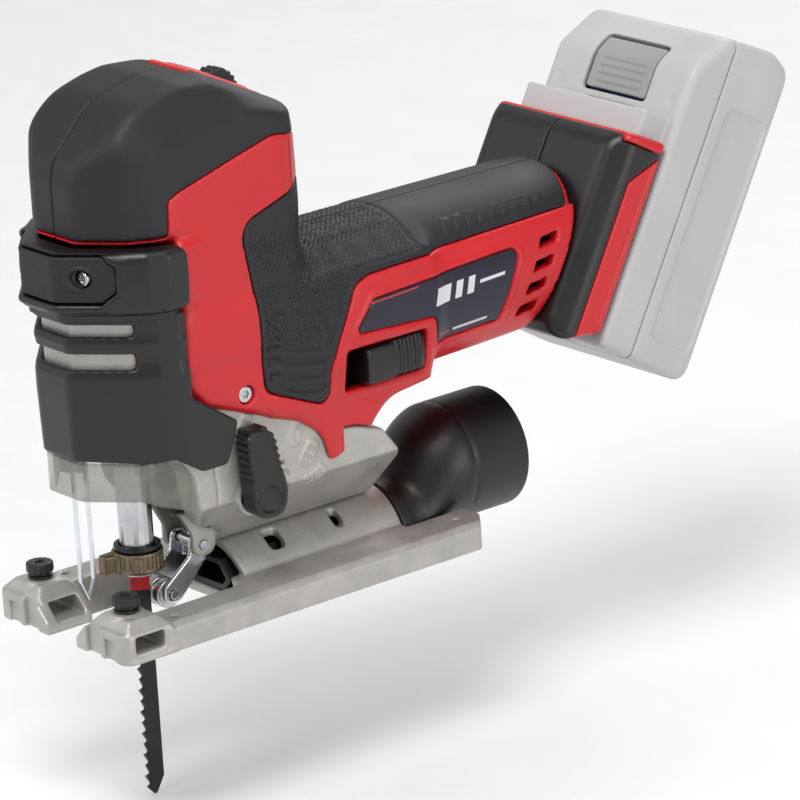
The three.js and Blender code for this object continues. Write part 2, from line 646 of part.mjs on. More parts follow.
// ---------------------------------------------------------------- sole
function sole() {
  const half = SOLE_WIDTH / 2;
  const footRear = -SOLE_FRONT + FOOT_LENGTH;
  const plan = mirrored([[half, -SOLE_FRONT, 5], [half, SOLE_REAR - 6, 2], [half - 8, SOLE_REAR, 2]]);
  const railFace = mirrored([[half, 0], [half, SOLE_THICK - 2.2], [half - 2.2, SOLE_THICK]]);
  const footFace = mirrored([[half, 0], [half, FOOT_HEIGHT - 5], [half - 5, FOOT_HEIGHT]]);
  const rails = meet(
    prismY(outline(railFace), -SOLE_FRONT, SOLE_REAR),
    prismZ(outline(plan), -1, 30),
  );
  const feet = meet(
    prismY(outline(footFace), -SOLE_FRONT, footRear),
    prismZ(outline(plan), -1, 30),
    wide([
      [-SOLE_FRONT, 0], [-SOLE_FRONT, 9], [-SOLE_FRONT + 5, FOOT_HEIGHT],
      [footRear - 4, FOOT_HEIGHT], [footRear, SOLE_THICK], [footRear, 0],
    ]),
  );
  const tunnelSide = [
    [WINDOW_REAR + 6, 0], [WINDOW_REAR + 1, 30], [TUNNEL_REAR, 30], [TUNNEL_REAR, 0],
  ];
  const tunnel = meet(
    prismY(circle(TUNNEL_RADIUS, 0, BEVEL_AXIS_Z, 36), WINDOW_REAR, TUNNEL_REAR),
    box(-FAR, FAR, 0, 200, 0.5, FAR),
    wide(tunnelSide),
  );
  const channel = meet(
    prismY(
      circle(TUNNEL_RADIUS - TUNNEL_WALL, 0, BEVEL_AXIS_Z, 24),
      WINDOW_REAR - 5,
      SOLE_REAR + 5,
    ),
    box(-FAR, FAR, 0, 200, SOLE_FLOOR, FAR),
  );
  const splay = (width, z0, z1) =>
    outline([
      [-width / 2, z0], [width / 2, z0], [width / 2 + z1 - z0, z1], [-width / 2 - z1 + z0, z1],
    ]);
  const window = prismY(splay(BLADE_WINDOW - 2, -1, 30), footRear - 1, WINDOW_REAR);
  const split = join(
    prismY(splay(FOOT_SPLIT, 4, 40), -FAR, footRear),
    box(-FOOT_SPLIT / 2, FOOT_SPLIT / 2, -FAR, footRear, -1, 5),
  );
  const slotFront = -SOLE_FRONT + 4.5;
  const guideSlot = box(
    -FAR,
    FAR,
    slotFront,
    slotFront + GUIDE_SLOT_LENGTH,
    GUIDE_SLOT_FLOOR,
    GUIDE_SLOT_FLOOR + GUIDE_SLOT_HEIGHT,
  );
  const screwBores = join(
    ...[1, -1].map((side) =>
      prismZ(circle(2.6, side * GUIDE_SCREW_X, GUIDE_SCREW_Y, 16), 8, 30),
    ),
  );
  const bedHalf = PORT_RADIUS + GAP;
  const rearBed = box(-bedHalf, bedHalf, TUNNEL_REAR, SOLE_REAR + 5, SOLE_FLOOR, FAR);
  const notches = cut(
    join(box(-15, 15, 48, 53, 14, 30), box(-15, 15, 76, 79, 14, 30)),
    box(-9, 9, 40, 90, 10, 40),
  );
  const clampBore = prismZ(circle(4 + GAP + 0.1, 0, CLAMP_SCREW_Y), -1, 3);
  const blank = join(rails, feet, tunnel);
  piece(
    "sole",
    cut(blank, channel, window, split, guideSlot, screwBores, rearBed, notches, clampBore),
    CAST,
  );
  const clampHead = prismZ(circle(4, 0, CLAMP_SCREW_Y), 0.6, 3 - GAP);
  const socket = prismZ(circle(1.8, 0, CLAMP_SCREW_Y, 6), 0, 1.8);
  piece("bevel_clamp_screw", cut(clampHead, socket), STEEL);

  const ductReach = TUNNEL_RADIUS - TUNNEL_WALL - 1;
  const ductOuter = mirrored([
    [ductReach * 0.67, SOLE_FLOOR + GAP],
    [ductReach * 0.915, BEVEL_AXIS_Z + ductReach * 0.396],
    [ductReach * 0.58, BEVEL_AXIS_Z + ductReach * 0.811],
  ]);
  piece(
    "dust_duct",
    cut(prismY(outline(ductOuter), WINDOW_REAR + 0.6, TUNNEL_REAR), prismY(outline(ductOuter, 2), 0, 200)),
    HARD_BLACK,
  );

  [1, -1].forEach((side) => {
    const x = side * GUIDE_SCREW_X;
    const turning = (radius, from, to, sides = 18) =>
      prismZ(circle(radius, x, GUIDE_SCREW_Y, sides), from, to);
    const screw = join(
      turning(2.2, GUIDE_SLOT_FLOOR + GUIDE_SLOT_HEIGHT + GAP, KNOB_TOP - 2, 14),
      turning(KNOB_RADIUS - 0.3, FOOT_HEIGHT + 0.4, FOOT_HEIGHT + 1.4),
      turning(KNOB_RADIUS - 1.6, FOOT_HEIGHT + 1.3, FOOT_HEIGHT + 2.4),
      turning(KNOB_RADIUS, FOOT_HEIGHT + 2.3, KNOB_TOP, 22),
    );
    piece(`guide_screw_${side > 0 ? "left" : "right"}`, screw, HARD_BLACK);
  });
}

// ---------------------------------------------------------------- dust port
const PORT_STEPS = [[112, 0.2], [120, 0.55], [128, 0.86], [136, 1]]; // Y and share of the rise

function dustPort() {
  const rise = PORT_AXIS_Z - BEVEL_AXIS_Z;
  const form = (inset) => {
    const floor = SOLE_FLOOR + GAP + inset;
    const radius = PORT_RADIUS - inset;
    const neck = meet(
      prismY(
        circle(TUNNEL_RADIUS - inset, 0, BEVEL_AXIS_Z, 24),
        TUNNEL_REAR + GAP - inset * 4,
        136,
      ),
      box(-FAR, FAR, 0, 200, floor, FAR),
    );
    const flare = PORT_STEPS.map(([y, share]) =>
      prismY(circle(radius, 0, BEVEL_AXIS_Z + rise * share, 24), y, 137),
    );
    const cup = prismY(circle(radius, 0, PORT_AXIS_Z, 24), 130, PORT_REAR + inset * 4);
    const aboveSole = box(-FAR, FAR, 0, SOLE_REAR + 1, floor, 80);
    const behindSole = box(-FAR, FAR, SOLE_REAR + 0.9, 200, inset, 80);
    return meet(join(neck, cup, ...flare), join(aboveSole, behindSole));
  };
  const bore = prismY(circle(PORT_BORE, 0, PORT_AXIS_Z, 24), 134, PORT_REAR + 5);
  const ductRoom = prismY(circle(17, 0, 6, 24), 90, 125);
  const passage = meet(form(PORT_WALL), join(ductRoom, box(-FAR, FAR, 105, 136, 0, FAR)));
  piece("dust_port", cut(form(0), bore, passage), HARD_BLACK);
}

// ---------------------------------------------------------------- drive
const bladeSocket = (gap, top) =>
  box(
    -BLADE_THICK / 2 - GAP,
    BLADE_THICK / 2 + GAP,
    -BLADE_HALF - gap,
    BLADE_HALF + gap,
    0,
    top,
  );

function gearOutline(teeth, a, b, phase) {
  const pitch = (teeth * MODULE) / 2;
  const tip = pitch + MODULE * 0.85;
  const root = pitch - MODULE * 1.2;
  const step = (2 * Math.PI) / teeth;
  const corners = [[root, -0.3], [tip, -0.13], [tip, 0.13], [root, 0.3]];
  return Array.from({ length: teeth }, (_, i) => i).flatMap((i) =>
    corners.map(([radius, share]) => {
      const angle = phase + (i + share) * step;
      return new THREE.Vector2(a + radius * Math.cos(angle), b + radius * Math.sin(angle));
    }),
  );
}

function drive() {
  const gearBack = GEAR_FRONT + GEAR_WIDTH;
  const down = -Math.PI / 2;
  const gear = cut(
    join(
      prismY(gearOutline(GEAR_TEETH, 0, GEAR_AXIS_Z, down), GEAR_FRONT, gearBack),
      prismY(circle(7, 0, GEAR_AXIS_Z, 20), gearBack - 1, gearBack + 4),
      prismY(circle(CRANK_PIN_RADIUS, 0, YOKE_Z, 12), YOKE_BACK + 1.5, GEAR_FRONT + 1),
    ),
    prismY(circle(AXLE_RADIUS + RUN, 0, GEAR_AXIS_Z, 16), 0, FAR),
  );
  piece("drive_gear", gear, STEEL);
  const axle = prismY(circle(AXLE_RADIUS, 0, GEAR_AXIS_Z, 16), GEAR_FRONT - 1, PLATE_BACK - 0.5);
  piece("gear_axle", axle, STEEL);

  const pinRoom = CRANK_PIN_RADIUS + RUN;
  const yoke = cut(
    box(
      -YOKE_HALF,
      YOKE_HALF,
      YOKE_FRONT,
      YOKE_BACK,
      YOKE_Z - YOKE_HALF_HEIGHT,
      YOKE_Z + YOKE_HALF_HEIGHT,
    ),
    box(-YOKE_HALF + 3.5, YOKE_HALF - 3.5, 0, 20, YOKE_Z - pinRoom, YOKE_Z + pinRoom),
  );
  const stemRadius = PLUNGER_RADIUS - 1.5;
  const rod = join(
    prismZ(circle(PLUNGER_RADIUS), PLUNGER_BOTTOM, YOKE_Z - 2),
    prismZ(circle(stemRadius), YOKE_Z - 3, UPPER_BUSH_Z + 4),
    box(-4, 4, 0, YOKE_FRONT + 1, YOKE_Z - 7, YOKE_Z + 7),
  );
  piece("plunger", cut(join(rod, yoke), bladeSocket(GAP, BLADE_TOP + GAP)), STEEL);
  const bush = (z0, z1, inner, outer) =>
    cut(prismZ(circle(outer), z0, z1), prismZ(circle(inner), 0, 250));
  piece("lower_bush", bush(62.5, 75.5, PLUNGER_RADIUS + RUN, BUSH_RADIUS), BRASS);
  piece(
    "upper_bush",
    bush(UPPER_BUSH_Z - 3.5, UPPER_BUSH_Z + 3.5, stemRadius + RUN, BUSH_RADIUS - 2),
    BRASS,
  );

  const shaft = (r, y0, y1, sides = 16) => prismY(circle(r, 0, BARREL_AXIS_Z, sides), y0, y1);
  const ring = (outer, inner, y0, y1, sides = 24) =>
    cut(shaft(outer, y0, y1, sides), shaft(inner, y0 - 1, y1 + 1, sides));
  const motorRear = MOTOR_FRONT + MOTOR_LENGTH;
  const pinionPhase = Math.PI / 2 + Math.PI / PINION_TEETH;
  const pinion = gearOutline(PINION_TEETH, 0, BARREL_AXIS_Z, pinionPhase);
  piece(
    "rotor",
    join(
      shaft(SHAFT_RADIUS, GEAR_FRONT + 6, motorRear + 12),
      prismY(pinion, GEAR_FRONT - 1, gearBack + 1),
      shaft(ROTOR_RADIUS, MOTOR_FRONT + 3, motorRear - 3, 24),
    ),
    STEEL,
  );
  const around = (count, shape) =>
    Array.from({ length: count }, (_, i) => placed(shape, aboutBarrel((i / count) * 2 * Math.PI)));
  const fanBlade = box(-0.7, 0.7, MOTOR_FRONT - 13, MOTOR_FRONT - 6, 8, 16.5);
  const disc = shaft(16.2, MOTOR_FRONT - 7.5, MOTOR_FRONT - 5.5, 18);
  const hub = shaft(9, MOTOR_FRONT - 13, MOTOR_FRONT - 6, 12);
  const fan = join(disc, hub, ...around(FAN_BLADES, fanBlade));
  piece("cooling_fan", cut(fan, shaft(SHAFT_RADIUS + GAP, 0, 200)), HARD_BLACK);
  const pole = box(
    -3.2,
    3.2,
    MOTOR_FRONT + 5,
    motorRear - 5,
    ROTOR_RADIUS + 0.6,
    STATOR_RADIUS - 2,
  );
  const core = ring(STATOR_RADIUS, STATOR_RADIUS - 4, MOTOR_FRONT + 3, motorRear - 3);
  piece("motor_stator", join(core, ...around(MOTOR_POLES, pole)), LAMINATION);
  piece("front_bearing", ring(8, SHAFT_RADIUS + RUN, 39, 44), STEEL);
  piece("rear_bearing", ring(6.5, SHAFT_RADIUS + RUN, motorRear + 5, motorRear + 10), STEEL);

  const plate = cut(
    prismY(rectangle(-22, 22, 78, 154, 6), PLATE_FRONT, PLATE_BACK),
    shaft(8 + GAP, 0, 100, 24),
    prismY(circle(AXLE_RADIUS + GAP, 0, GEAR_AXIS_Z, 16), 0, 100),
  );
  piece("bearing_plate", plate, CAST);
  const bridge = cut(
    prismY(rectangle(-22, 22, UPPER_BUSH_Z - 3, UPPER_BUSH_Z + 3, 2), -10, PLATE_FRONT - GAP),
    prismZ(circle(BUSH_RADIUS - 2 + GAP), 0, 250),
  );
  piece("bush_bridge", bridge, CAST);
}

// ---------------------------------------------------------------- blade, clamp and guide
function bladeOutline() {
  const bottom = BLADE_TOP - BLADE_LENGTH;
  const teeth = Math.floor((-bottom - 8) / TOOTH_PITCH);
  const front = -BLADE_HALF;
  const points = [
    [BLADE_HALF, 14], [BLADE_HALF, bottom + 6], [0.6, bottom + 0.6],
    [-0.4, bottom], [-1.2, bottom + 0.8],
  ];
  const first = bottom + 3.2;
  for (let i = 0; i < teeth; i++) {
    const z = first + i * TOOTH_PITCH;
    const depth = TOOTH_DEPTH * (i % 2 ? 1 : 0.72);
    const root = front + TOOTH_DEPTH;
    points.push([root - depth, z], [root, z + 0.5], [root, z + 1.3]);
  }
  points.push([front, first + teeth * TOOTH_PITCH], [front, 14]);
  points.push([-3, 17], [-3, BLADE_TOP], [3, BLADE_TOP], [3, 17]);
  return points.map(([a, b]) => new THREE.Vector2(a, b));
}

function bladeAndGuide() {
  piece("saw_blade", prismX(bladeOutline(), -BLADE_THICK / 2, BLADE_THICK / 2), BLADE_BLACK);
  const collarBore = prismZ(circle(PLUNGER_RADIUS + RUN), PLUNGER_BOTTOM - 12, 100);
  const tab = outline([[0, -6], [-5.5, -6], [-5.5, -12.6], [-4, -13.8], [-1.5, -13], [0, -8]]);
  const collar = join(
    prismZ(circle(COLLAR_RADIUS, 0, 0, 24), COLLAR_BOTTOM, COLLAR_TOP),
    prismZ(tab, COLLAR_BOTTOM, COLLAR_TOP - 0.5),
  );
  piece("clamp_collar", cut(collar, collarBore), BRONZE);
  const body = prismZ(circle(PLUNGER_RADIUS - GAP), COLLAR_BOTTOM - 1.5, PLUNGER_BOTTOM - GAP);
  piece("clamp_body", cut(body, bladeSocket(0.25, FAR)), STEEL);
  const ring = prismZ(circle(COLLAR_RADIUS - 0.6, 0, 0, 24), COLLAR_TOP + GAP, COLLAR_TOP + 2);
  piece("collar_ring", cut(ring, collarBore), HARD_BLACK);

  const rollerY = BLADE_HALF + GAP + ROLLER_RADIUS;
  const [pivotY, pivotZ] = BRACKET_PIVOT;
  const arm = outline([
    [rollerY - 3, ROLLER_Z - 3, 2.6], [rollerY + 3, ROLLER_Z - 3.2, 2.6], [pivotY + 3, pivotZ - 7, 2],
    [pivotY + 3.2, pivotZ + 3, 2.5], [pivotY - 3, pivotZ + 3.2, 2.5], [pivotY - 4, pivotZ - 4, 2],
    [rollerY - 3, ROLLER_Z + 3.2, 2.6],
  ]);
  const arms = cut(
    prismX(arm, -BRACKET_HALF, BRACKET_HALF),
    prismX(rectangle(-50, 50, -50, 50), -BRACKET_HALF + SHEET, BRACKET_HALF - SHEET),
  );
  const web = prismX(
    outline([
      [pivotY + 1, pivotZ - 7], [pivotY + 2.8, pivotZ - 6.6],
      [pivotY + 2.8, pivotZ - 2.6], [pivotY + 1, pivotZ - 2.6],
    ]),
    -BRACKET_HALF + 0.5,
    BRACKET_HALF - 0.5,
  );
  const rollerAxis = [rollerY, ROLLER_Z];
  const bores = join(
    crossBar(BRACKET_PIN_RADIUS + RUN, BRACKET_PIVOT, -20, 20),
    crossBar(ROLLER_AXLE_RADIUS + GAP, rollerAxis, -20, 20),
  );
  piece("guide_bracket", cut(join(arms, web), bores), ZINC);
  const axleHalf = BRACKET_HALF + 1;
  piece("roller_axle", crossBar(ROLLER_AXLE_RADIUS, rollerAxis, -axleHalf, axleHalf), STEEL);
  const groove = [[ROLLER_RADIUS, 1], [ROLLER_RADIUS - 0.9, 0.7]];
  const bore = ROLLER_AXLE_RADIUS + RUN;
  const profile = [
    [bore, -ROLLER_HALF], [ROLLER_RADIUS, -ROLLER_HALF],
    ...groove.map(([r, h]) => [r, -h]), ...[...groove].reverse(),
    [ROLLER_RADIUS, ROLLER_HALF], [bore, ROLLER_HALF], [bore, -ROLLER_HALF],
  ];
  const roller = new THREE.LatheGeometry(
    profile.map(([r, h]) => new THREE.Vector2(r, h)),
    16,
  );
  roller.rotateZ(-Math.PI / 2);
  roller.translate(0, rollerY, ROLLER_Z);
  piece("guide_roller", solid(roller), STEEL);

  const guardY = -24.4;
  const rearY = guardY + GUARD_SPACING;
  const half = GUARD_SPACING / 2;
  const path = new THREE.CurvePath();
  const at = (y, z) => new THREE.Vector3(0, y, z);
  const top = SKIRT_BOTTOM + 3 - GAP;
  const low = 12.4 + half;
  path.add(new THREE.LineCurve3(at(guardY, top), at(guardY, low)));
  const bend = (from, corner, to) => path.add(new THREE.QuadraticBezierCurve3(from, corner, to));
  bend(at(guardY, low), at(guardY, low - half), at(guardY + half, low - half));
  bend(at(guardY + half, low - half), at(rearY, low - half), at(rearY, low));
  path.add(new THREE.LineCurve3(at(rearY, low), at(rearY, top)));
  const wire = new THREE.ExtrudeGeometry(new THREE.Shape(circle(GUARD_WIRE, 0, 0, 8)), {
    steps: 14,
    bevelEnabled: false,
    extrudePath: path,
  });
  piece("wire_guard", solid(wire), ZINC);
}

// ---------------------------------------------------------------- controls
function controls() {
  const [leverY, leverZ] = LEVER_PIVOT;
  const leverInner = CASTING_HALF_WIDTH + 0.5;
  const leverSide = outline([
    [leverY - 5.5, leverZ - 6.5, 4], [leverY + 7, leverZ - 6.5, 4.5], [leverY + 8.5, leverZ + 2, 3],
    [leverY + 4.5, leverZ + LEVER_REACH - 4, 3], [leverY + 1, leverZ + LEVER_REACH, 1.5],
    [leverY - 6, leverZ + LEVER_REACH, 2], [leverY - 8, leverZ + LEVER_REACH - 3, 1.5],
  ]);
  piece(
    "orbital_lever",
    join(
      prismX(leverSide, leverInner, leverInner + LEVER_THICK),
      crossBar(LEVER_SHAFT_RADIUS, LEVER_PIVOT, 16, leverInner + 1, 20),
    ),
    HARD_BLACK,
  );

  const padRear = SWITCH_FRONT + SWITCH_LENGTH;
  const padLow = SWITCH_Z - SWITCH_HEIGHT / 2;
  const padHigh = SWITCH_Z + SWITCH_HEIGHT / 2;
  const padOuter = BARREL_HALF_WIDTH + 0.6;
  const padInner = SHELL_HALF_WIDTH - 9.5;
  const padMiddle = SWITCH_FRONT + SWITCH_LENGTH / 2;
  const padTop = padOuter + 2;
  const slabs = join(
    box(-padOuter, padOuter, SWITCH_FRONT, padRear, padLow, padHigh),
    box(-padTop, padTop, SWITCH_FRONT, padMiddle, padLow + 0.4, padHigh - 0.4),
  );
  const pads = cut(slabs, box(-padInner, padInner, 0, 200, 0, 100));
  const link = box(-padInner - 1, padInner + 1, SWITCH_FRONT + 3, SWITCH_FRONT + 9, 67.6, 71);
  piece("switch_slider", join(pads, link), HARD_BLACK);
  const motorRear = MOTOR_FRONT + MOTOR_LENGTH;
  piece("switch_module", box(-8, 8, motorRear + 12.5, motorRear + 30, 72, 86), HARD_BLACK);
  piece("controller_board", box(-17, 17, motorRear + 14, motorRear + 50, 100, 102), BOARD);

  const ribs = 16;
  const scale = SPEED_WHEEL_RADIUS / (MODULE * (ribs / 2 + 0.85));
  const knurl = gearOutline(ribs, 0, 0, 0).map(
    ({ x, y }) => new THREE.Vector2(SPEED_WHEEL_Y + x * scale, SPEED_WHEEL_Z + y * scale),
  );
  const wheelBore = crossBar(SPEED_PIN_RADIUS + RUN, SPEED_WHEEL, -SPEED_PIN_HALF, SPEED_PIN_HALF);
  piece("speed_wheel", cut(prismX(knurl, -3.4, 3.4), wheelBore), HARD_BLACK);
  const pin = crossBar(SPEED_PIN_RADIUS, SPEED_WHEEL, -SPEED_PIN_HALF, SPEED_PIN_HALF);
  piece("speed_wheel_pin", pin, STEEL);

  const headBack = SHELL_HALF_WIDTH - 3.4;
  const screwHead = join(
    crossBar(2.9, HOUSING_SCREW, headBack, SHELL_HALF_WIDTH - 1.2, 16),
    crossBar(1.5, HOUSING_SCREW, SHELL_HALF_WIDTH - 8, headBack, 10),
  );
  const recess = crossBar(1.2, HOUSING_SCREW, SHELL_HALF_WIDTH - 2.2, SHELL_HALF_WIDTH, 6);
  piece("housing_screw", cut(screwHead, recess), STEEL);
}

// ---------------------------------------------------------------- battery foot and pack
// Inside the leaning frame Y runs out of the slide's face and Z runs up along the slide.
function batteryFoot() {
  const profile = [
    [FOOT_FRONT, 143, 4], [FOOT_FRONT, FOOT_TOP - 4, 6], [FOOT_FRONT + 5, FOOT_TOP + 2, 3],
    [FOOT_BACK, FOOT_TOP + 3], [FOOT_BACK, 145.5], [FOOT_FRONT + 6, 138, 3],
  ];
  const plan = mirrored([
    [FOOT_HALF_WIDTH - 5, FOOT_FRONT, 5], [FOOT_HALF_WIDTH, FOOT_FRONT + 8, 5],
    [FOOT_HALF_WIDTH, FOOT_BACK],
  ]);
  const form = (inset) =>
    meet(
      wide(profile, inset),
      prismZ(outline(plan, inset), 100, 260),
    );
  const slideFloor = FOOT_BACK - RAIL_DEPTH - GAP - RUN;
  const bayHalf = RAIL_HALF_WIDTH + RUN;
  const topBayHalf = RAIL_HALF_WIDTH - 4;
  const bay = join(
    box(-bayHalf, bayHalf, slideFloor, FOOT_BACK + 5, 152, 260),
    box(-topBayHalf, topBayHalf, slideFloor, FOOT_BACK + 5, FOOT_TOP - 6, 260),
  );
  const inside = cut(form(FOOT_WALL), box(-FAR, FAR, slideFloor - 2.5, 200, 100, 260));
  const cableDoor = meet(
    placed(prismY(circle(16, 0, BARREL_AXIS_Z, 20), 120, 240), LEAN.clone().invert()),
    box(-FAR, FAR, FOOT_FRONT - 20, FOOT_FRONT + 6, 100, 260),
  );
  const terminalRoom = TERMINAL_HALF + GAP;
  const terminalDoor = box(
    -terminalRoom,
    terminalRoom,
    slideFloor - 5,
    slideFloor + 5,
    TERMINAL_LOW - GAP,
    TERMINAL_HIGH + GAP,
  );
  const trimFront = FOOT_BACK - TRIM_DEPTH;
  const trimSide = [
    [trimFront, 120], [trimFront, 199], [FOOT_BACK + 3, 215], [FOOT_BACK + 3, 120],
  ];
  const trimZone = (inset) =>
    cut(wide(trimSide, inset), box(-35 - inset, 35 + inset, 80, 160, 100, 260));
  const topZone = (inset) =>
    box(-FAR, FAR, FOOT_FRONT + 5 + inset, FOOT_BACK + 5, FOOT_TOP - 1.5 + inset, 260);
  const shell = cut(form(0), inside, bay, cableDoor, terminalDoor, trimZone(0), topZone(0));
  const lean = (shape) => placed(shape, LEAN);
  pair("battery_foot", lean(shell), SOFT_BLACK);
  const trims = meet(cut(form(0), bay), trimZone(GAP));
  piece("foot_trim_left", lean(meet(trims, leftOf(10))), RED);
  piece("foot_trim_right", lean(meet(trims, rightOf(-10))), RED);
  piece("foot_top_trim", lean(cut(meet(form(0), topZone(GAP)), bay)), RED);
  const blades = [-7.5, 0, 7.5].map((x) =>
    box(x - 0.5, x + 0.5, slideFloor + 1, FOOT_BACK - 3, TERMINAL_LOW + 2, TERMINAL_HIGH - 2),
  );
  const block = box(
    -TERMINAL_HALF,
    TERMINAL_HALF,
    slideFloor - 4.5,
    slideFloor + 2,
    TERMINAL_LOW,
    TERMINAL_HIGH,
  );
  piece("terminal_block", lean(join(block, ...blades)), HARD_BLACK);
}

function batteryPack() {
  const face = FOOT_BACK + RUN;
  const back = face + PACK_DEPTH;
  const top = PACK_LOW + PACK_LENGTH;
  const side = [
    [face, PACK_LOW + 2, 4], [back, PACK_LOW, 6], [back, top - 3, 10], [back - 14, top + 3, 8],
    [face + 12, top + 1, 4], [face, top - 16, 4],
  ];
  const plan = mirrored([
    [PACK_HALF_WIDTH, face], [PACK_HALF_WIDTH, back - 3, 3], [PACK_HALF_WIDTH - 9, back, 3],
  ]);
  const form = (inset) => meet(wide(side, inset), prismZ(outline(plan, inset), 100, 300));
  const seam = face + PACK_SEAM;
  const lean = (shape) => placed(shape, LEAN);
  const shell = cut(form(0), form(PACK_WALL));
  const railFront = FOOT_BACK - RAIL_DEPTH;
  const rail = box(-RAIL_HALF_WIDTH, RAIL_HALF_WIDTH, railFront, face + 3, 154, 226);
  const recessHalf = RAIL_HALF_WIDTH - 3;
  const railRecess = box(-recessHalf, recessHalf, railFront + 3, face + 5, 180, 223);
  const slot = box(-TERMINAL_HALF - 1, TERMINAL_HALF + 1, railFront - 1, face + 12, 100, 178);
  const latchWell = meet(box(-17, 17, face - 1, face + 8, top - 30, top - 8), form(-5));
  const front = box(-FAR, FAR, 0, seam + GAP / 2, 100, 300);
  const rear = box(-FAR, FAR, seam - GAP / 2, 400, 100, 300);
  piece("battery_case", lean(cut(shell, front)), PACK_GREY);
  const cover = cut(join(shell, rail), rear, slot, latchWell, railRecess);
  piece("battery_cover", lean(cover), PACK_GREY);
  const rows = [0, 1].map((i) => seam + 1.2 + i * 2 * (CELL_RADIUS + 0.15));
  const columns = [0, 1, 2, 3, 4].map((i) => PACK_LOW + 16 + i * 2 * (CELL_RADIUS + 0.6));
  const cells = rows.flatMap((y) =>
    columns.map((z) => prismX(circle(CELL_RADIUS, y, z, 10), -32.5, 32.5)),
  );
  const spine = box(-1, 1, rows[0] - 3, rows[1] + 3, columns[0] - 2, columns[4] + 2);
  piece("battery_cells", lean(join(spine, ...cells)), CELL_BLUE);
  const latch = cut(
    meet(box(-16, 16, face + 0.5, face + 7, top - 29, top - 9), form(0.6)),
    ...[27, 24, 21, 18].map((down) =>
      box(-12, 12, face - 2, face + 1.6, top - down, top - down + 1.4),
    ),
  );
  piece("battery_latch", lean(latch), PACK_DARK);
}

gearHousing();
shells();
nose();
sole();
dustPort();
drive();
bladeAndGuide();
controls();
batteryFoot();
batteryPack();

export default tool;
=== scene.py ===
import math

import bpy
import numpy as np
import openvdb
from mathutils import Matrix, Vector


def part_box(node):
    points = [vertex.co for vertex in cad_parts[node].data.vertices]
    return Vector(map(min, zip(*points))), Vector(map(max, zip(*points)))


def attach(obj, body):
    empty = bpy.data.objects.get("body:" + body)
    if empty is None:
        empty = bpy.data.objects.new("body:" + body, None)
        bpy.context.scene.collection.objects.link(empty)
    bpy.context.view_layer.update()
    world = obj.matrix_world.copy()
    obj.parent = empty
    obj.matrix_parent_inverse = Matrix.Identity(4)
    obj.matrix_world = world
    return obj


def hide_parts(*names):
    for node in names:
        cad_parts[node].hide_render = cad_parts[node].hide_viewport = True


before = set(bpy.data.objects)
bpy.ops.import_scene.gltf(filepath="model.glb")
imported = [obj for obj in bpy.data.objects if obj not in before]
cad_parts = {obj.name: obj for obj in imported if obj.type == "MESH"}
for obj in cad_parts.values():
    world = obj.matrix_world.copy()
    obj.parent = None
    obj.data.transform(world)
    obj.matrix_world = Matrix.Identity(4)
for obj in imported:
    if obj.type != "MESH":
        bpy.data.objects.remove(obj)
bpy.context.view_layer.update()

MM = 0.001
BLADE_Y = sum(corner.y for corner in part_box("clamp_body")) / 2
LEAN = math.radians(29)

# ---------------------------------------------------------------- camera
def make_camera():
    azimuth, elevation, roll = (math.radians(angle) for angle in (51.5, 18.15, 3.3))
    turn = (
        Matrix.Rotation(azimuth, 3, "Z")
        @ Matrix.Rotation(math.radians(90) - elevation, 3, "X")
        @ Matrix.Rotation(-roll, 3, "Z")
    )
    data = bpy.data.cameras.new("camera")
    data.lens = 234
    data.sensor_width = 36
    data.clip_end = 20
    camera = bpy.data.objects.new("camera", data)
    camera.matrix_world = Matrix.Translation((1.3727, -1.0203, 0.6234)) @ turn.to_4x4()
    bpy.context.scene.collection.objects.link(camera)
    bpy.context.scene.camera = camera


make_camera()


# ---------------------------------------------------------------- outlines and distances
def outline(corners, steps=8):
    """Points round a closed outline whose corners are (a, b) or (a, b, radius)."""
    points = []
    count = len(corners)
    for i, corner in enumerate(corners):
        here = np.array(corner[:2], float)
        radius = corner[2] if len(corner) > 2 else 0
        before = here - np.array(corners[i - 1][:2], float)
        after = np.array(corners[(i + 1) % count][:2], float) - here
        before /= np.hypot(*before)
        after /= np.hypot(*after)
        turn = math.atan2(before[0] * after[1] - before[1] * after[0], float(before @ after))
        if radius < 0.05 or abs(turn) < 0.02:
            points.append(here)
            continue
        side = math.copysign(1, turn)
        start = here - before * radius * math.tan(abs(turn) / 2)
        centre = start + side * radius * np.array([-before[1], before[0]])
        arm = start - centre
        for step in range(steps + 1):
            c, s = math.cos(turn * step / steps), math.sin(turn * step / steps)
            points.append(centre + np.array([c * arm[0] - s * arm[1], s * arm[0] + c * arm[1]]))
    return np.array(points)


def mirrored(half):
    """An outline and its mirror image in the second axis, from the corners on the +a side."""
    return list(half) + [(-corner[0],) + tuple(corner[1:]) for corner in reversed(half)]


def outline_distance(corners, a, b):
    """Signed distance from (a, b) to an outline, negative inside it."""
    points = outline(corners)
    nearest = np.full(np.broadcast_shapes(a.shape, b.shape), np.inf)
    inside = np.zeros(nearest.shape, bool)
    for (a0, b0), (a1, b1) in zip(points, np.roll(points, -1, 0)):
        da, db = a1 - a0, b1 - b0
        if abs(da) + abs(db) < 1e-6:
            continue
        along = np.clip(((a - a0) * da + (b - b0) * db) / (da * da + db * db), 0, 1)
        nearest = np.minimum(nearest, (a - a0 - along * da) ** 2 + (b - b0 - along * db) ** 2)
        if db:
            inside ^= ((b0 > b) != (b1 > b)) & (a < a0 + (b - b0) * da / db)
    return np.where(inside, -1.0, 1.0) * np.sqrt(nearest)


def both(a, b, radius=0.0):
    """Where both shapes are, with the edge between them rounded."""
    if not radius:
        return np.maximum(a, b)
    mix = np.maximum(radius - np.abs(a - b), 0)
    return np.maximum(a, b) + mix * mix / (4 * radius)


def either(a, b, radius=0.0):
    """Where either shape is, with a fillet between them."""
    return -both(-a, -b, radius)


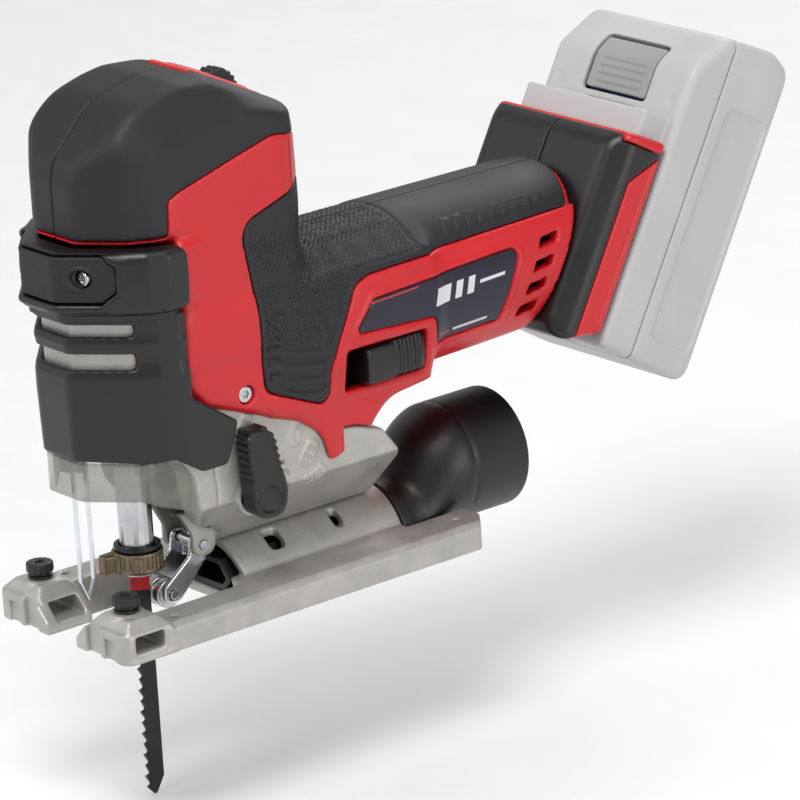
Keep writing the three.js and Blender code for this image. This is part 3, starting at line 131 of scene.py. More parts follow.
def without(a, b, radius=0.0):
    """The first shape with the second cut out of it."""
    return both(a, -b, radius)


def ramp(value, low, high):
    """0 below low, 1 above high, and smooth between."""
    share = np.clip((value - low) / (high - low), 0, 1)
    return share * share * (3 - 2 * share)


class Block:
    """A box of space sampled on a grid."""

    def __init__(self, low, high, step):
        self.low = np.array(low, float)
        self.step = step
        x, y, z = (np.arange(lo, hi + step, step) for lo, hi in zip(low, high))
        self.x = x[:, None, None]
        self.y = y[None, :, None]
        self.z = z[None, None, :]

    def side(self, corners):
        return outline_distance(corners, self.y, self.z)

    def plan(self, corners):
        return outline_distance(corners, self.x, self.y)

    def face(self, corners):
        return outline_distance(corners, self.x, self.z)

    def between(self, axis, low, high):
        value = getattr(self, axis)
        return np.maximum(low - value, value - high)

    def cuboid(self, x0, x1, y0, y1, z0, z1, radius=0.0):
        first = both(self.between("x", x0, x1), self.between("y", y0, y1), radius)
        return both(first, self.between("z", z0, z1), radius)

    def along_x(self, radius, y, z):
        return np.hypot(self.y - y, self.z - z) - radius

    def along_y(self, radius, x, z):
        return np.hypot(self.x - x, self.z - z) - radius

    def along_z(self, radius, x, y):
        return np.hypot(self.x - x, self.y - y) - radius


# ---------------------------------------------------------------- meshes
def place(points, leaning=False):
    """Layout millimetres to row metres. A leaning piece is laid out along the battery slide."""
    moved = np.array(points, float)
    if leaning:
        c, s = math.cos(LEAN), math.sin(LEAN)
        y, z = moved[:, 1].copy(), moved[:, 2].copy()
        moved[:, 1] = y * c + z * s
        moved[:, 2] = z * c - y * s
    moved *= MM
    moved[:, 1] += BLADE_Y
    return moved


def mesh_piece(name, points, faces, material, body, replaced=(), sharp=32):
    mesh = bpy.data.meshes.new(name)
    corners = faces.shape[1]
    mesh.vertices.add(len(points))
    mesh.vertices.foreach_set("co", points.astype(np.float32).ravel())
    mesh.loops.add(faces.size)
    mesh.loops.foreach_set("vertex_index", faces.astype(np.int32).ravel())
    mesh.polygons.add(len(faces))
    mesh.polygons.foreach_set("loop_start", np.arange(0, faces.size, corners, dtype=np.int32))
    mesh.polygons.foreach_set("use_smooth", np.ones(len(faces), bool))
    mesh.update(calc_edges=True)
    mesh.validate()
    mesh.set_sharp_from_angle(angle=math.radians(sharp))
    piece = bpy.data.objects.new(name, mesh)
    bpy.context.scene.collection.objects.link(piece)
    piece.data.materials.append(material)
    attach(piece, body)
    if replaced:
        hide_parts(*replaced)
    return piece


def enclosed_volume(points, faces):
    a, b, c, d = (points[faces[:, i]] for i in range(4))
    return float(np.sum(np.cross(a, b) * c) + np.sum(np.cross(a, c) * d)) / 6


def shaped(name, block, field, body, slot, material=None, leaning=False, flip=False, sharp=32):
    """The surface where the field is zero, as the piece that replaces the CAD node of that name.

    The look is the slot's own unless a material is given. flip makes the mirror image in X.
    """
    margin = 3 * block.step
    shape = np.broadcast_shapes(block.x.shape, block.y.shape, block.z.shape)
    values = np.clip(np.broadcast_to(field, shape), -margin, margin).astype(np.float32)
    grid = openvdb.FloatGrid(margin)
    grid.copyFromArray(np.ascontiguousarray(values))
    points, _, quads = grid.convertToPolygons(0.0, 0.0)
    points = points * block.step + block.low
    if flip:
        points[:, 0] *= -1
    faces = np.array(quads)
    if enclosed_volume(points, faces) < 0:
        faces = faces[:, ::-1]
    material = material or look(slot)
    return mesh_piece(name, place(points, leaning), faces, material, body, [name], sharp)


# ---------------------------------------------------------------- materials
class Nodes:
    """Small helper that adds shader nodes to a new material."""

    def __init__(self, name):
        self.material = bpy.data.materials.new(name)
        self.material.use_nodes = True
        self.tree = self.material.node_tree
        self.shader = self.tree.nodes["Principled BSDF"]
        self.where = self.tree.nodes.new("ShaderNodeTexCoord").outputs["Object"]

    def add(self, kind, **settings):
        node = self.tree.nodes.new(kind)
        for key, value in settings.items():
            setattr(node, key, value)
        return node

    def link(self, source, target):
        self.tree.links.new(source, target)

    def noise(self, scale, detail=3.0, roughness=0.55, stretch=(1, 1, 1)):
        """Noise with features about 1/scale metres across."""
        mapping = self.add("ShaderNodeMapping")
        mapping.inputs["Scale"].default_value = stretch
        self.link(self.where, mapping.inputs["Vector"])
        node = self.add("ShaderNodeTexNoise")
        node.inputs["Scale"].default_value = scale
        node.inputs["Detail"].default_value = detail
        node.inputs["Roughness"].default_value = roughness
        self.link(mapping.outputs["Vector"], node.inputs["Vector"])
        return node.outputs["Fac"]

    def spread(self, value, low, high, start=0.3, end=0.7):
        node = self.add("ShaderNodeMapRange")
        for key, number in (("From Min", start), ("From Max", end), ("To Min", low),
            ("To Max", high)):
            node.inputs[key].default_value = number
        self.link(value, node.inputs["Value"])
        return node.outputs["Result"]

    def math(self, operation, *values):
        node = self.add("ShaderNodeMath", operation=operation)
        for socket, value in zip(node.inputs, values):
            if isinstance(value, (int, float)):
                socket.default_value = value
            else:
                self.link(value, socket)
        return node.outputs["Value"]

    def blend(self, share, first, second):
        """A colour mixed between two colours, each a tuple or a socket."""
        node = self.add("ShaderNodeMix", data_type="RGBA")
        self.link(share, node.inputs["Factor"])
        for socket, value in ((node.inputs["A"], first), (node.inputs["B"], second)):
            if isinstance(value, tuple):
                socket.default_value = (*value, 1)
            else:
                self.link(value, socket)
        return node.outputs["Result"]

    def bump(self, height, distance, strength=1.0, normal=None):
        node = self.add("ShaderNodeBump")
        node.inputs["Strength"].default_value = strength
        node.inputs["Distance"].default_value = distance
        self.link(height, node.inputs["Height"])
        if normal:
            self.link(normal, node.inputs["Normal"])
        return node.outputs["Normal"]

    def axes(self):
        node = self.add("ShaderNodeSeparateXYZ")
        self.link(self.where, node.inputs["Vector"])
        return node.outputs["X"], node.outputs["Y"], node.outputs["Z"]


def surface_material(name, light, dark, roughness, grain, depth, metallic=0.0, wear=None, mottle=30,
    specular=0.5):
    """A moulded, cast or ground surface: two close colours, uneven gloss and a fine grain."""
    nodes = Nodes(name)
    broad = nodes.noise(mottle, 4)
    fine = nodes.noise(grain, 2)
    colour = nodes.blend(nodes.spread(broad, 0, 1), dark, light)
    if wear:
        edge = nodes.add("ShaderNodeNewGeometry").outputs["Pointiness"]
        rubbed = nodes.math("MULTIPLY", nodes.spread(edge, 0, 1, 0.53, 0.62),
            nodes.spread(fine, 0.2, 1))
        colour = nodes.blend(rubbed, colour, wear)
    nodes.link(colour, nodes.shader.inputs["Base Color"])
    gloss = nodes.math("ADD", nodes.spread(broad, roughness - 0.05, roughness + 0.05),
        nodes.spread(fine, -0.03, 0.03))
    nodes.link(gloss, nodes.shader.inputs["Roughness"])
    nodes.shader.inputs["Metallic"].default_value = metallic
    nodes.shader.inputs["Specular IOR Level"].default_value = specular
    nodes.link(nodes.bump(fine, depth), nodes.shader.inputs["Normal"])
    return nodes


def smoked_material():
    nodes = Nodes("smoked_clear")
    haze = nodes.noise(140, 4)
    nodes.link(
        nodes.blend(nodes.spread(haze, 0, 1), (0.13, 0.145, 0.115), (0.20, 0.215, 0.165)),
        nodes.shader.inputs["Base Color"],
    )
    nodes.link(nodes.spread(haze, 0.05, 0.22), nodes.shader.inputs["Roughness"])
    nodes.link(nodes.spread(haze, 0.42, 0.58), nodes.shader.inputs["Alpha"])
    nodes.shader.inputs["Coat Weight"].default_value = 0.6
    nodes.shader.inputs["Coat Roughness"].default_value = 0.05
    nodes.link(nodes.bump(haze, 0.0001), nodes.shader.inputs["Normal"])
    return nodes.material


def turned_material(name, light, dark, roughness, scale):
    """Bright metal with fine tool marks round the X axis or along the piece."""
    nodes = Nodes(name)
    marks = nodes.noise(scale, 2, 0.6, (1, 0.08, 0.08))
    broad = nodes.noise(60, 3)
    nodes.link(nodes.blend(nodes.spread(broad, 0, 1), dark, light),
        nodes.shader.inputs["Base Color"])
    nodes.link(nodes.spread(marks, roughness - 0.06, roughness + 0.1),
        nodes.shader.inputs["Roughness"])
    nodes.shader.inputs["Metallic"].default_value = 1.0
    nodes.link(nodes.bump(marks, 0.00003), nodes.shader.inputs["Normal"])
    return nodes.material


def blade_material():
    """Black blade with a red patch at its neck, a red mark and worn tooth tips."""
    nodes = Nodes("blade_black")
    _, y, z = nodes.axes()
    broad = nodes.noise(90, 4)
    fine = nodes.noise(2500, 2, 0.5, (1, 1, 0.15))
    colour = nodes.blend(nodes.spread(broad, 0, 1), (0.006, 0.006, 0.007), (0.014, 0.014, 0.016))

    def band(low, high, value=z):
        return nodes.math("MULTIPLY", nodes.math("GREATER_THAN", value, low * MM),
            nodes.math("LESS_THAN", value, high * MM))

    tilted = nodes.math("ADD", z, nodes.math("MULTIPLY", nodes.math("SUBTRACT", y, BLADE_Y), 0.2))
    colour = nodes.blend(band(9.5, 14.5, tilted), colour, (0.46, 0.02, 0.022))
    mark = nodes.math("MULTIPLY", band(-4.6, -3.6), band(BLADE_Y / MM - 0.6, BLADE_Y / MM + 2.4, y))
    colour = nodes.blend(mark, colour, (0.55, 0.02, 0.02))
    tip = nodes.spread(y, 1, 0, (BLADE_Y / MM - 3.6) * MM, (BLADE_Y / MM - 3.0) * MM)
    below = nodes.math("LESS_THAN", z, -1 * MM)
    colour = nodes.blend(nodes.math("MULTIPLY", tip, below), colour, (0.09, 0.09, 0.095))
    nodes.link(colour, nodes.shader.inputs["Base Color"])
    nodes.link(nodes.spread(fine, 0.32, 0.5), nodes.shader.inputs["Roughness"])
    nodes.shader.inputs["Metallic"].default_value = 0.35
    nodes.link(nodes.bump(fine, 0.00004), nodes.shader.inputs["Normal"])
    return nodes.material


def label_material():
    """Navy film with a thin red line and plain generic marks."""
    nodes = Nodes("label_navy")
    _, y, z = nodes.axes()
    slant = math.radians(2.7)
    along = nodes.math("SUBTRACT", y, BLADE_Y)
    across = nodes.math("SUBTRACT", z, nodes.math("MULTIPLY", along, math.tan(slant)))
    broad = nodes.noise(50, 3)
    colour = nodes.blend(nodes.spread(broad, 0, 1), (0.0075, 0.0065, 0.019), (0.010, 0.009, 0.026))

    def patch(y0, y1, z0, z1, lean=0.25):
        leaned = nodes.math("SUBTRACT", along, nodes.math("MULTIPLY", across, lean))
        base = lean * (z0 + z1) / 2
        inside = nodes.math("MULTIPLY", nodes.math("GREATER_THAN", leaned, (y0 - base) * MM),
                            nodes.math("LESS_THAN", leaned, (y1 - base) * MM))
        level = nodes.math("MULTIPLY", nodes.math("GREATER_THAN", across, z0 * MM),
                           nodes.math("LESS_THAN", across, z1 * MM))
        return nodes.math("MULTIPLY", inside, level)

    for y0, y1, z0, z1 in ((82, 104, 95.2, 95.7), (113.5, 119, 74.6, 75.1)):
        colour = nodes.blend(patch(y0, y1, z0, z1), colour, (0.55, 0.02, 0.025))
    for y0, y1, z0, z1 in ((112, 119, 86.2, 92.2), (121.5, 124.5, 86.2, 92.2),
        (127, 130, 86.2, 92.2)):
        colour = nodes.blend(patch(y0, y1, z0, z1), colour, (0.62, 0.62, 0.63))
    colour = nodes.blend(patch(132.5, 144, 88.6, 89.8), colour, (0.62, 0.62, 0.63))
    colour = nodes.blend(patch(120.5, 136, 74.4, 75.4), colour, (0.5, 0.5, 0.52))
    nodes.link(colour, nodes.shader.inputs["Base Color"])
    nodes.link(nodes.spread(broad, 0.28, 0.38), nodes.shader.inputs["Roughness"])
    nodes.link(nodes.bump(nodes.noise(3000, 2), 0.00002), nodes.shader.inputs["Normal"])
    return nodes.material


def make_materials():
    made = {
        "red_shell": surface_material("red_shell", (0.56, 0.008, 0.012), (0.49, 0.006, 0.010), 0.36,
            2600, 0.00006),
        "soft_black": surface_material("soft_black", (0.0115, 0.0115, 0.0140),
            (0.0080, 0.0080, 0.0100), 0.52, 2200, 0.00011,
                                       specular=0.42),
        "hard_black": surface_material("hard_black", (0.0065, 0.0065, 0.0072),
            (0.0048, 0.0048, 0.0054), 0.36, 2400, 0.00006),
        "cast_aluminium": surface_material("cast_aluminium", (0.47, 0.455, 0.425),
            (0.37, 0.36, 0.335), 0.42, 1500, 0.00014,
                                           metallic=0.55, mottle=90),
        "motor_iron": surface_material("motor_iron", (0.20, 0.21, 0.23), (0.13, 0.14, 0.15), 0.5,
            1800, 0.0001, 0.9),
        "circuit_green": surface_material("circuit_green", (0.02, 0.13, 0.05), (0.015, 0.09, 0.035),
            0.35, 900, 0.00005),
        "pack_grey": surface_material("pack_grey", (0.47, 0.47, 0.475), (0.43, 0.43, 0.435), 0.42,
            2200, 0.00006),
        "pack_dark": surface_material("pack_dark", (0.31, 0.31, 0.315), (0.27, 0.27, 0.275), 0.45,
            2200, 0.00006),
        "cell_wrap": surface_material("cell_wrap", (0.05, 0.18, 0.45), (0.04, 0.15, 0.38), 0.25,
            900, 0.00003),
    }
    made = {name: nodes.material for name, nodes in made.items()}
    made["bronze_collar"] = turned_material("bronze_collar", (0.26, 0.20, 0.14), (0.13, 0.10, 0.07),
        0.36, 1500)
    made["bright_steel"] = turned_material("bright_steel", (0.60, 0.61, 0.62), (0.42, 0.43, 0.44),
        0.26, 1800)
    made["zinc_plate"] = turned_material("zinc_plate", (0.80, 0.82, 0.85), (0.66, 0.69, 0.73), 0.20,
        900)
    made["bush_brass"] = turned_material("bush_brass", (0.65, 0.45, 0.18), (0.50, 0.33, 0.12), 0.30,
        1500)
    made["floor"] = surface_material("floor", (0.80, 0.80, 0.81), (0.78, 0.78, 0.79), 0.6, 200,
        0.00001).material
    made["smoked_clear"] = smoked_material()
    made["blade_black"] = blade_material()
    made["label_navy"] = label_material()
    return made


MATERIALS = make_materials()


def look(name):
    return MATERIALS[name]


# ---------------------------------------------------------------- main form
SIDES = (False, "left"), (True, "right")  # whether it is the mirror image, and its name
HALF = 32.5  # half width of the head
CAP_BOTTOM = 142
HEAD_SIDE = [
    (3, 95), (3, 140, 2), (-25.5, 140), (-25.5, 165, 16), (-6, 185.2, 22), (14, 190, 14),
    (28, 190, 8),
    (58, 175, 6), (62, 165, 6), (64, 142, 12), (63, 95),
]
HEAD_PLAN = mirrored([(11, -25.5, 9), (26, -13.6, 9), (31, -5, 8), (HALF, 5, 12), (HALF, 51, 12),
    (20, 65, 12)])
LOWER_SIDE = [
    (9.3, 79.3, 5), (3, 88, 8), (3, 112), (112, 112), (112, 64), (92, 61.5, 16), (84.5, 54, 10),
    (81, 43.6, 4), (61.6, 45.2, 4), (59, 57, 13), (50, 64, 8), (22, 74.8, 8),
]
LOWER_PLAN = mirrored([(HALF, 2), (HALF, 50, 14), (29, 72, 14), (29, 112)])
BARREL_SIDE = [(40, 61), (108, 62.6, 30), (166, 69), (246, 69), (246, 130), (40, 130)]
BARREL_Z, BARREL_A, BARREL_B = 93, 31.5, 30.4
SQUARENESS = 2.25
FOOT_N = 105  # the battery foot's front face, along the leaning normal
SKIN = 1.8
CAP_ZONE = [
    (-60, CAP_BOTTOM), (0, CAP_BOTTOM), (0.5, 154, 3), (5, 156.2, 4), (31, 163.5), (46, 167.5, 10),
    (90, 158), (90, 220), (-60, 220),
]
GRIP_ZONE = [
    (90, 151), (60, 149), (30, 139.5, 8), (30, 133, 8), (33.5, 112), (35.2, 79, 5), (63.7, 66.8, 4),
    (64, 80, 5), (68, 90), (77, 107, 8), (84, 109.3), (190, 112), (240, 112), (240, 200), (90, 200),
]
LABEL_ZONE = [(84, 100.5, 1.5), (152.2, 103.7, 3), (141.4, 79, 1.5), (112.4, 77.6, 1.5),
    (111.3, 88.2, 3), (75.2, 90, 1.5)]
STRIP_ZONE = [(26, 170), (26, 200), (63, 200), (63, 174), (55, 170)]
STRIP_HALF = 11
LOW_CREASE = ((-15, -1, 10, 29, 36, 60), (164, 170, 168, 172, 176, 172))
HIGH_CREASE = ((-20, -6, 6, 15, 27, 60), (175, 184, 188, 189, 187.5, 174))


def leaned(block):
    """How far each point lies along the battery foot's normal."""
    return block.y * math.cos(LEAN) - block.z * math.sin(LEAN)


def softened(values, size, axis):
    """A running mean along one axis."""
    kernel = np.ones(size) / size
    padded = np.pad(values, [(size // 2, size - 1 - size // 2) if i == axis else (0,
        0) for i in range(values.ndim)], "edge")
    return np.apply_along_axis(lambda row: np.convolve(row, kernel, "valid"), axis, padded)


def head_facets(block):
    """The head's sides lean in above two creases that rise towards the back."""
    low = np.interp(block.y, *LOW_CREASE)
    high = np.interp(block.y, *HIGH_CREASE)
    lower = 31.4 + (low - block.z) * 0.05
    upper = 31.4 - (block.z - low) * (31.4 - 22.5) / (high - low)
    crown = 22.5 - (block.z - high) * 2.6
    reach = np.minimum(np.minimum(lower, upper), crown)[0]
    size = max(3, int(3.4 / block.step))
    for axis in (0, 1):
        reach = softened(softened(reach, size, axis), size, axis)
    slope = np.gradient(reach, block.step, axis=1)
    return (np.abs(block.x) - reach[None]) / np.sqrt(1 + slope[None] ** 2)


def barrel_form(block):
    a = np.abs(block.x / BARREL_A) ** SQUARENESS
    b = np.abs((block.z - BARREL_Z) / BARREL_B) ** SQUARENESS
    tube = ((a + b) ** (1 / SQUARENESS) - 1) * BARREL_B
    return both(both(tube, block.side(BARREL_SIDE), 4), 44 - block.y)


def body_form(block):
    """Distance to the outer form of head, trigger guard and barrel."""
    head = both(both(block.side(HEAD_SIDE), block.plan(HEAD_PLAN), 5), head_facets(block), 3)
    lower = both(block.side(LOWER_SIDE), block.plan(LOWER_PLAN), 5)
    return either(either(head, lower, 4), barrel_form(block), 9)


def shell_block(step, low_z=40, low_y=-29):
    return Block((-1.5, low_y, low_z), (37, 193, 193), step)


def seam(block, gap=0.12):
    """Keeps to the left of the seam at X = 0."""
    return gap - block.x


# ---------------------------------------------------------------- shells
def diamond_grain(block, pitch=2.1):
    around = 0.75 * (np.abs(block.x) - block.z)
    along = block.y + 0.5 * np.maximum(block.z - 124, 0)
    first = np.abs((((along + around) / pitch) % 1) - 0.5) * 2
    second = np.abs((((along - around) / pitch) % 1) - 0.5) * 2
    return 1 - np.minimum(first, second) * 2


def head_caps():
    for flip, side in SIDES:
        block = Block((-1.5, -29, 139), (35, 66, 193), 0.55)
        form = body_form(block)
        shell = without(form, form + SKIN)
        zone = both(block.side(CAP_ZONE), -both(block.side(STRIP_ZONE),
            np.abs(block.x) - STRIP_HALF), 0.8)
        cap = both(both(shell, zone, 1.0), seam(block), 0.7)
        shaped(f"head_cap_{side}", block, cap, "housing", "soft_black", flip=flip)


def grip_texture(block, zone):
    """Raised diamonds over the grip, ribs below them and a smooth sleeve behind an arc."""
    inner = ramp(-zone, 1.8, 3.0)
    arc_y = 107 + 0.006 * (block.z - 110) ** 2
    above_ribs = ramp((block.z - 97) * 0.956 + (block.y - 36) * 0.294, -0.4, 0.6)
    below_neck = 1 - ramp(block.z, 131, 140)
    ahead = 1 - ramp(block.y - arc_y, -0.6, 0.2)
    textured = inner * above_ribs * ahead * below_neck
    diamonds = textured * (0.55 - 0.42 * diamond_grain(block))
    rib_zone = inner * (1 - above_ribs) * (1 - ramp(block.z, 94, 96)) * ramp(np.abs(block.x), 24,
        27)
    ribs = rib_zone * (0.5 + 0.5
        * np.cos(2 * math.pi * (block.z + 0.18 * block.y - 70) / 5.2)) * 0.9
    groove = 0.5 * np.exp(-((block.y - arc_y - 0.6) / 0.9) ** 2) * inner
    return diamonds + ribs + groove


def sleeve_bars(block):
    """A row of plain raised slanted bars low on the smooth sleeve."""
    level = block.z - 0.045 * (block.y - 125)
    along = (block.y - (level - 113) * 0.35 - 122) / 5.4
    bar = np.abs((along % 1) - 0.5) - 0.3
    rows = both(both(bar * 5.4, np.abs(level - 115.6) - 2.3), both(122 - block.y, block.y - 172))
    return 0.45 * (1 - ramp(rows, -0.5, 0.1)) * (block.x > 20)


def grips():
    for flip, side in SIDES:
        block = Block((-1.5, 27, 63), (35, 193, 153), 0.5)
        form = body_form(block)
        zone = block.side(GRIP_ZONE)
        rear = leaned(block) - (FOOT_N - 3.4)
        outer = form + grip_texture(block, zone) * (zone < 0) - sleeve_bars(block)
        shell = without(outer, form + SKIN)
        grip = both(both(both(shell, zone + 0.15, 1.0), rear, 0.8), seam(block), 0.7)
        shaped(f"grip_{side}", block, grip, "housing", "soft_black", flip=flip)


def side_details(block, form):
    """Raised rims round the label and the switch window and a flare near the front of one side, as
    changes to the form.
    """
    label = block.side(LABEL_ZONE)
    rim = 0.5 * np.exp(-((label - 1.4) / 0.9) ** 2) * (block.x > 18)
    window = block.side([(71.4, 69.4, 1.5), (107, 69.4, 1.5), (107, 84.6, 1.5), (71.4, 84.6, 1.5)])
    window_rim = 0.6 * np.exp(-((window - 1.8) / 1.1) ** 2) * (block.x > 18)
    flare = 2.2 * np.exp(-((block.y - 3) / 7.0) ** 2) * (ramp(block.z, 117, 121) - ramp(block.z,
        137, 141)) * (block.x > 15)
    return form - rim - window_rim - flare


def vent_slots(block):
    slots = np.full((1,) + np.broadcast_shapes(block.y.shape, block.z.shape)[1:], 50.0)
    for row in range(4):
        y, z = 150 + row * 3.6, 77.6 + row * 7.6
        corners = [(y, z), (y + 8.5, z + 1.2), (y + 9.8, z + 4.6), (y + 1.6, z + 3.6)]
        slots = np.minimum(slots, block.side(corners))
    return both(slots, 22 - block.x)


def housings():
    for flip, side in SIDES:
        block = shell_block(0.68)
        form = body_form(block)
        outer = side_details(block, form)
        skin_zones = np.minimum(block.side(CAP_ZONE), block.side(GRIP_ZONE)) - 0.15
        outer = without(outer, both(skin_zones, -(form + SKIN + 0.2)), 0.5)
        hollow = form + 4.6
        shell = without(outer, hollow)
        cuts = [
            both(block.side(LABEL_ZONE) - 0.25, -(form + 1.0)),
            both(block.side([(71.4, 69.4, 1.5), (107, 69.4, 1.5), (107, 84.6, 1.5),
                (71.4, 84.6, 1.5)]), 15 - block.x),
            vent_slots(block),
            block.cuboid(-60, 60, -60, 2.6, 30, 139.6),
            block.cuboid(-22, 22, -40, 56, 30, 139.7),
            block.cuboid(-17, 17, -13, 56, 139, 150),
            both(block.along_y(18.5, 0, BARREL_Z), 40 - block.y),
            block.cuboid(-4.4, 4.4, 34, 56, 166, 200),
            both(block.side(GEAR_SIDE) - 0.4, block.face(GEAR_FACE) - 0.4),
        ]
        if not flip:
            cuts.append(both(block.along_x(3.3, 27.3, 80.1), 29.6 - block.x))
        for cutter in cuts:
            shell = without(shell, cutter, 0.8)
        shell = both(both(shell, leaned(block) - (FOOT_N - 0.3)), seam(block), 0.5)
        shaped(f"housing_{side}", block, shell, "housing", "red_shell", flip=flip)


def labels():
    for flip, side in SIDES:
        block = Block((18, 72, 73), (35, 156, 107), 0.45)
        form = body_form(block)
        plate = both(without(form + 0.15, form + 0.9), block.side(LABEL_ZONE), 0.2)
        shaped(f"label_{side}", block, plate, "housing", "label_navy", flip=flip)


def speed_bezel():
    block = Block((-12.5, 24, 166), (12.5, 66, 193), 0.4)
    form = body_form(block)
    raised = 0.7 * (1 - ramp(np.abs(block.x), 5.5, 8)) * (ramp(block.y, 30, 33) - ramp(block.y, 54,
        57))
    strip = both(block.side(STRIP_ZONE) + 0.25, np.abs(block.x) - STRIP_HALF + 0.25, 1.2)
    bezel = both(without(form - 0.5 - raised, form + SKIN), strip, 0.9)
    bezel = without(bezel, block.cuboid(-4.2, 4.2, 34.6, 55.4, 160, 200, 1), 0.8)
    shaped("speed_bezel", block, bezel, "housing", "red_shell")


# ---------------------------------------------------------------- nose
def nose_plan(half, front, rear):
    return mirrored([(9.5, -front, 6), (25, -front + 13, 8), (half - 3, -front + 22, 5),
        (half, -front + 29), (half, rear)])


PAD_FACE = mirrored([(22, 122.2, 1), (26, 126, 1), (26, 134.5, 1), (22, 138.2, 1)])
SCREW_X, SCREW_Z = 16.5, 130.5


def front_band():
    block = Block((-39, -41, 114), (39, 5, 143), 0.45)
    plan = block.plan(nose_plan(36, 33.4, 2.7))
    bulge = 0.9 * np.cos((block.z - 129) / 11 * math.pi / 2)
    level = block.between("z", 117.2, 139.6)
    shoulder = both(plan - 0.3 - bulge * 0.5, level, 4.0)
    lip = both(plan + 2.4, block.between("z", 115, 120), 1)
    band = either(shoulder, lip, 0.8)
    frame_line = block.face(PAD_FACE)
    rim = 0.5 * np.exp(-((frame_line - 2.2) / 1.2) ** 2) * (block.y < -12)
    band = band - rim * (np.abs(block.z - 129) < 10)
    band = without(band, both(both(frame_line - 0.5, block.y + 12), -(plan + 2.2)), 0.8)
    inside = both(block.plan(nose_plan(32.5, 24, 20)), -block.z)
    band = without(band, inside, 0.6)
    for side in (-1, 1):
        band = without(band, both(block.along_y(3.1, side * SCREW_X, SCREW_Z), block.y), 0.4)
    shaped("front_band", block, band, "housing", "hard_black")


def front_pad():
    block = Block((-30, -36, 120), (30, -13, 141), 0.36)
    plan = block.plan(nose_plan(36, 33.4, 2.7))
    across = block.x / 1.9
    grain = np.abs(((across + block.z / 1.9) % 1) - 0.5) + np.abs(((across - block.z / 1.9) % 1)
        - 0.5)
    face = block.face(PAD_FACE)
    outer = plan + 0.35 + 0.34 * grain * ramp(-face, 0.8, 1.4)
    pad = both(without(outer, plan + 1.9), face + 0.1, 0.8)
    for side in (-1, 1):
        collar = block.along_y(4.4, side * SCREW_X, SCREW_Z)
        pad = either(pad, both(without(plan + 0.1, plan + 1.9), both(collar, -(collar + 1.3)), 0.3),
            0.2)
        pad = without(pad, both(block.along_y(3.1, side * SCREW_X, SCREW_Z), block.y), 0.4)
    shaped("front_pad", block, pad, "housing", "soft_black")


SKIRT_SIDE = [
    (-60, 67), (-12, 64.5, 3), (-4, 65, 3), (6, 58.5, 3), (16.5, 58.5, 3), (21.5, 73, 2),
    (2.7, 86, 3),
    (2.7, 116.6), (-60, 116.6),
]


def front_skirt():
    block = Block((-37, -38, 56), (37, 24, 118), 0.5)
    taper = np.interp(block.z, [56, 70, 88, 95, 100, 118], [-1.2, -0.6, 0.0, 0.0, -1.0, -0.8])
    plan = block.plan(nose_plan(35, 30, 30))
    ring = 1.5 * np.exp(-((block.z - 106.8) / 1.6) ** 2)
    outer = plan - taper - ring * 0.3
    skirt = both(both(outer, block.side(SKIRT_SIDE), 1.2), block.z - 116.4, 0.6)
    skirt = without(skirt, plan + 3)
    front_window = both(block.y + 13, np.abs(block.x) - 33)
    for low, high in ((109.4, 113.6), (97.8, 103.4)):
        skirt = without(skirt, both(block.between("z", low, high), front_window, 1.5), 0.6)
    form = body_form(block)
    skirt = without(skirt, both(form - 0.35, 20 - np.abs(block.x)))
    skirt = without(skirt, both(block.side(GEAR_SIDE) - 0.4, block.face(GEAR_FACE) - 0.4))
    shaped("front_skirt", block, skirt, "housing", "hard_black")


def chip_shield():
    block = Block((-32, -35, 42), (32, 6, 67), 0.42)
    plan = block.plan(nose_plan(31, 28, 60))
    side = [(-60, 51), (-14, 51, 3), (-8, 48, 3), (2, 45, 3), (4, 58, 2), (-5, 64, 2), (-14, 64, 2),
        (-60, 65.4)]
    flutes = 0.35 * ramp(block.y, -16, -12) * (0.5 + 0.5 * np.cos(2 * math.pi * block.y / 3.4))
    shell = without(plan + flutes * 0.6, plan + 1.9)
    rim = both(without(plan, plan + 2.6), np.abs(block.side(side)) - 0.9)
    shield = either(both(shell, block.side(side), 0.8), both(rim, block.side(side), 0.4), 0.4)
    shield = both(shield, block.y - 2, 0.8)
    shaped("chip_shield", block, shield, "shield", "smoked_clear")


# ---------------------------------------------------------------- gear housing
GEAR_SIDE = [
    (13, 32.5, 4), (8, 40, 8), (5, 56, 5), (0, 62), (0, 90), (58, 90), (60, 58, 2), (76, 56, 2),
    (88, 52, 3),
    (97, 40, 4), (97, 10), (27, 10), (27, 27, 4),
]
GEAR_HALF = 28.5
FACET_Z = 14.4
GEAR_FACE = [(0, FACET_Z), (GEAR_HALF, FACET_Z + GEAR_HALF, 2), (GEAR_HALF, 120), (-GEAR_HALF, 120),
    (-GEAR_HALF, FACET_Z + GEAR_HALF, 2)]
TUNNEL_RADIUS = 20.4
LEVER_Y, LEVER_Z = 30.5, 42.5
PIVOT_Y, PIVOT_Z = 21.5, 22.3


def badge(block, y, z, angle, length=10.5, width=5.6):
    """Distance to a round-ended badge outline on the casting's side."""
    c, s = math.cos(math.radians(angle)), math.sin(math.radians(angle))
    along = (block.y - y) * c + (block.z - z) * s
    across = -(block.y - y) * s + (block.z - z) * c
    reach = np.clip(along, -(length - width) / 2, (length - width) / 2)
    return np.hypot(along - reach, across) - width / 2, along, across


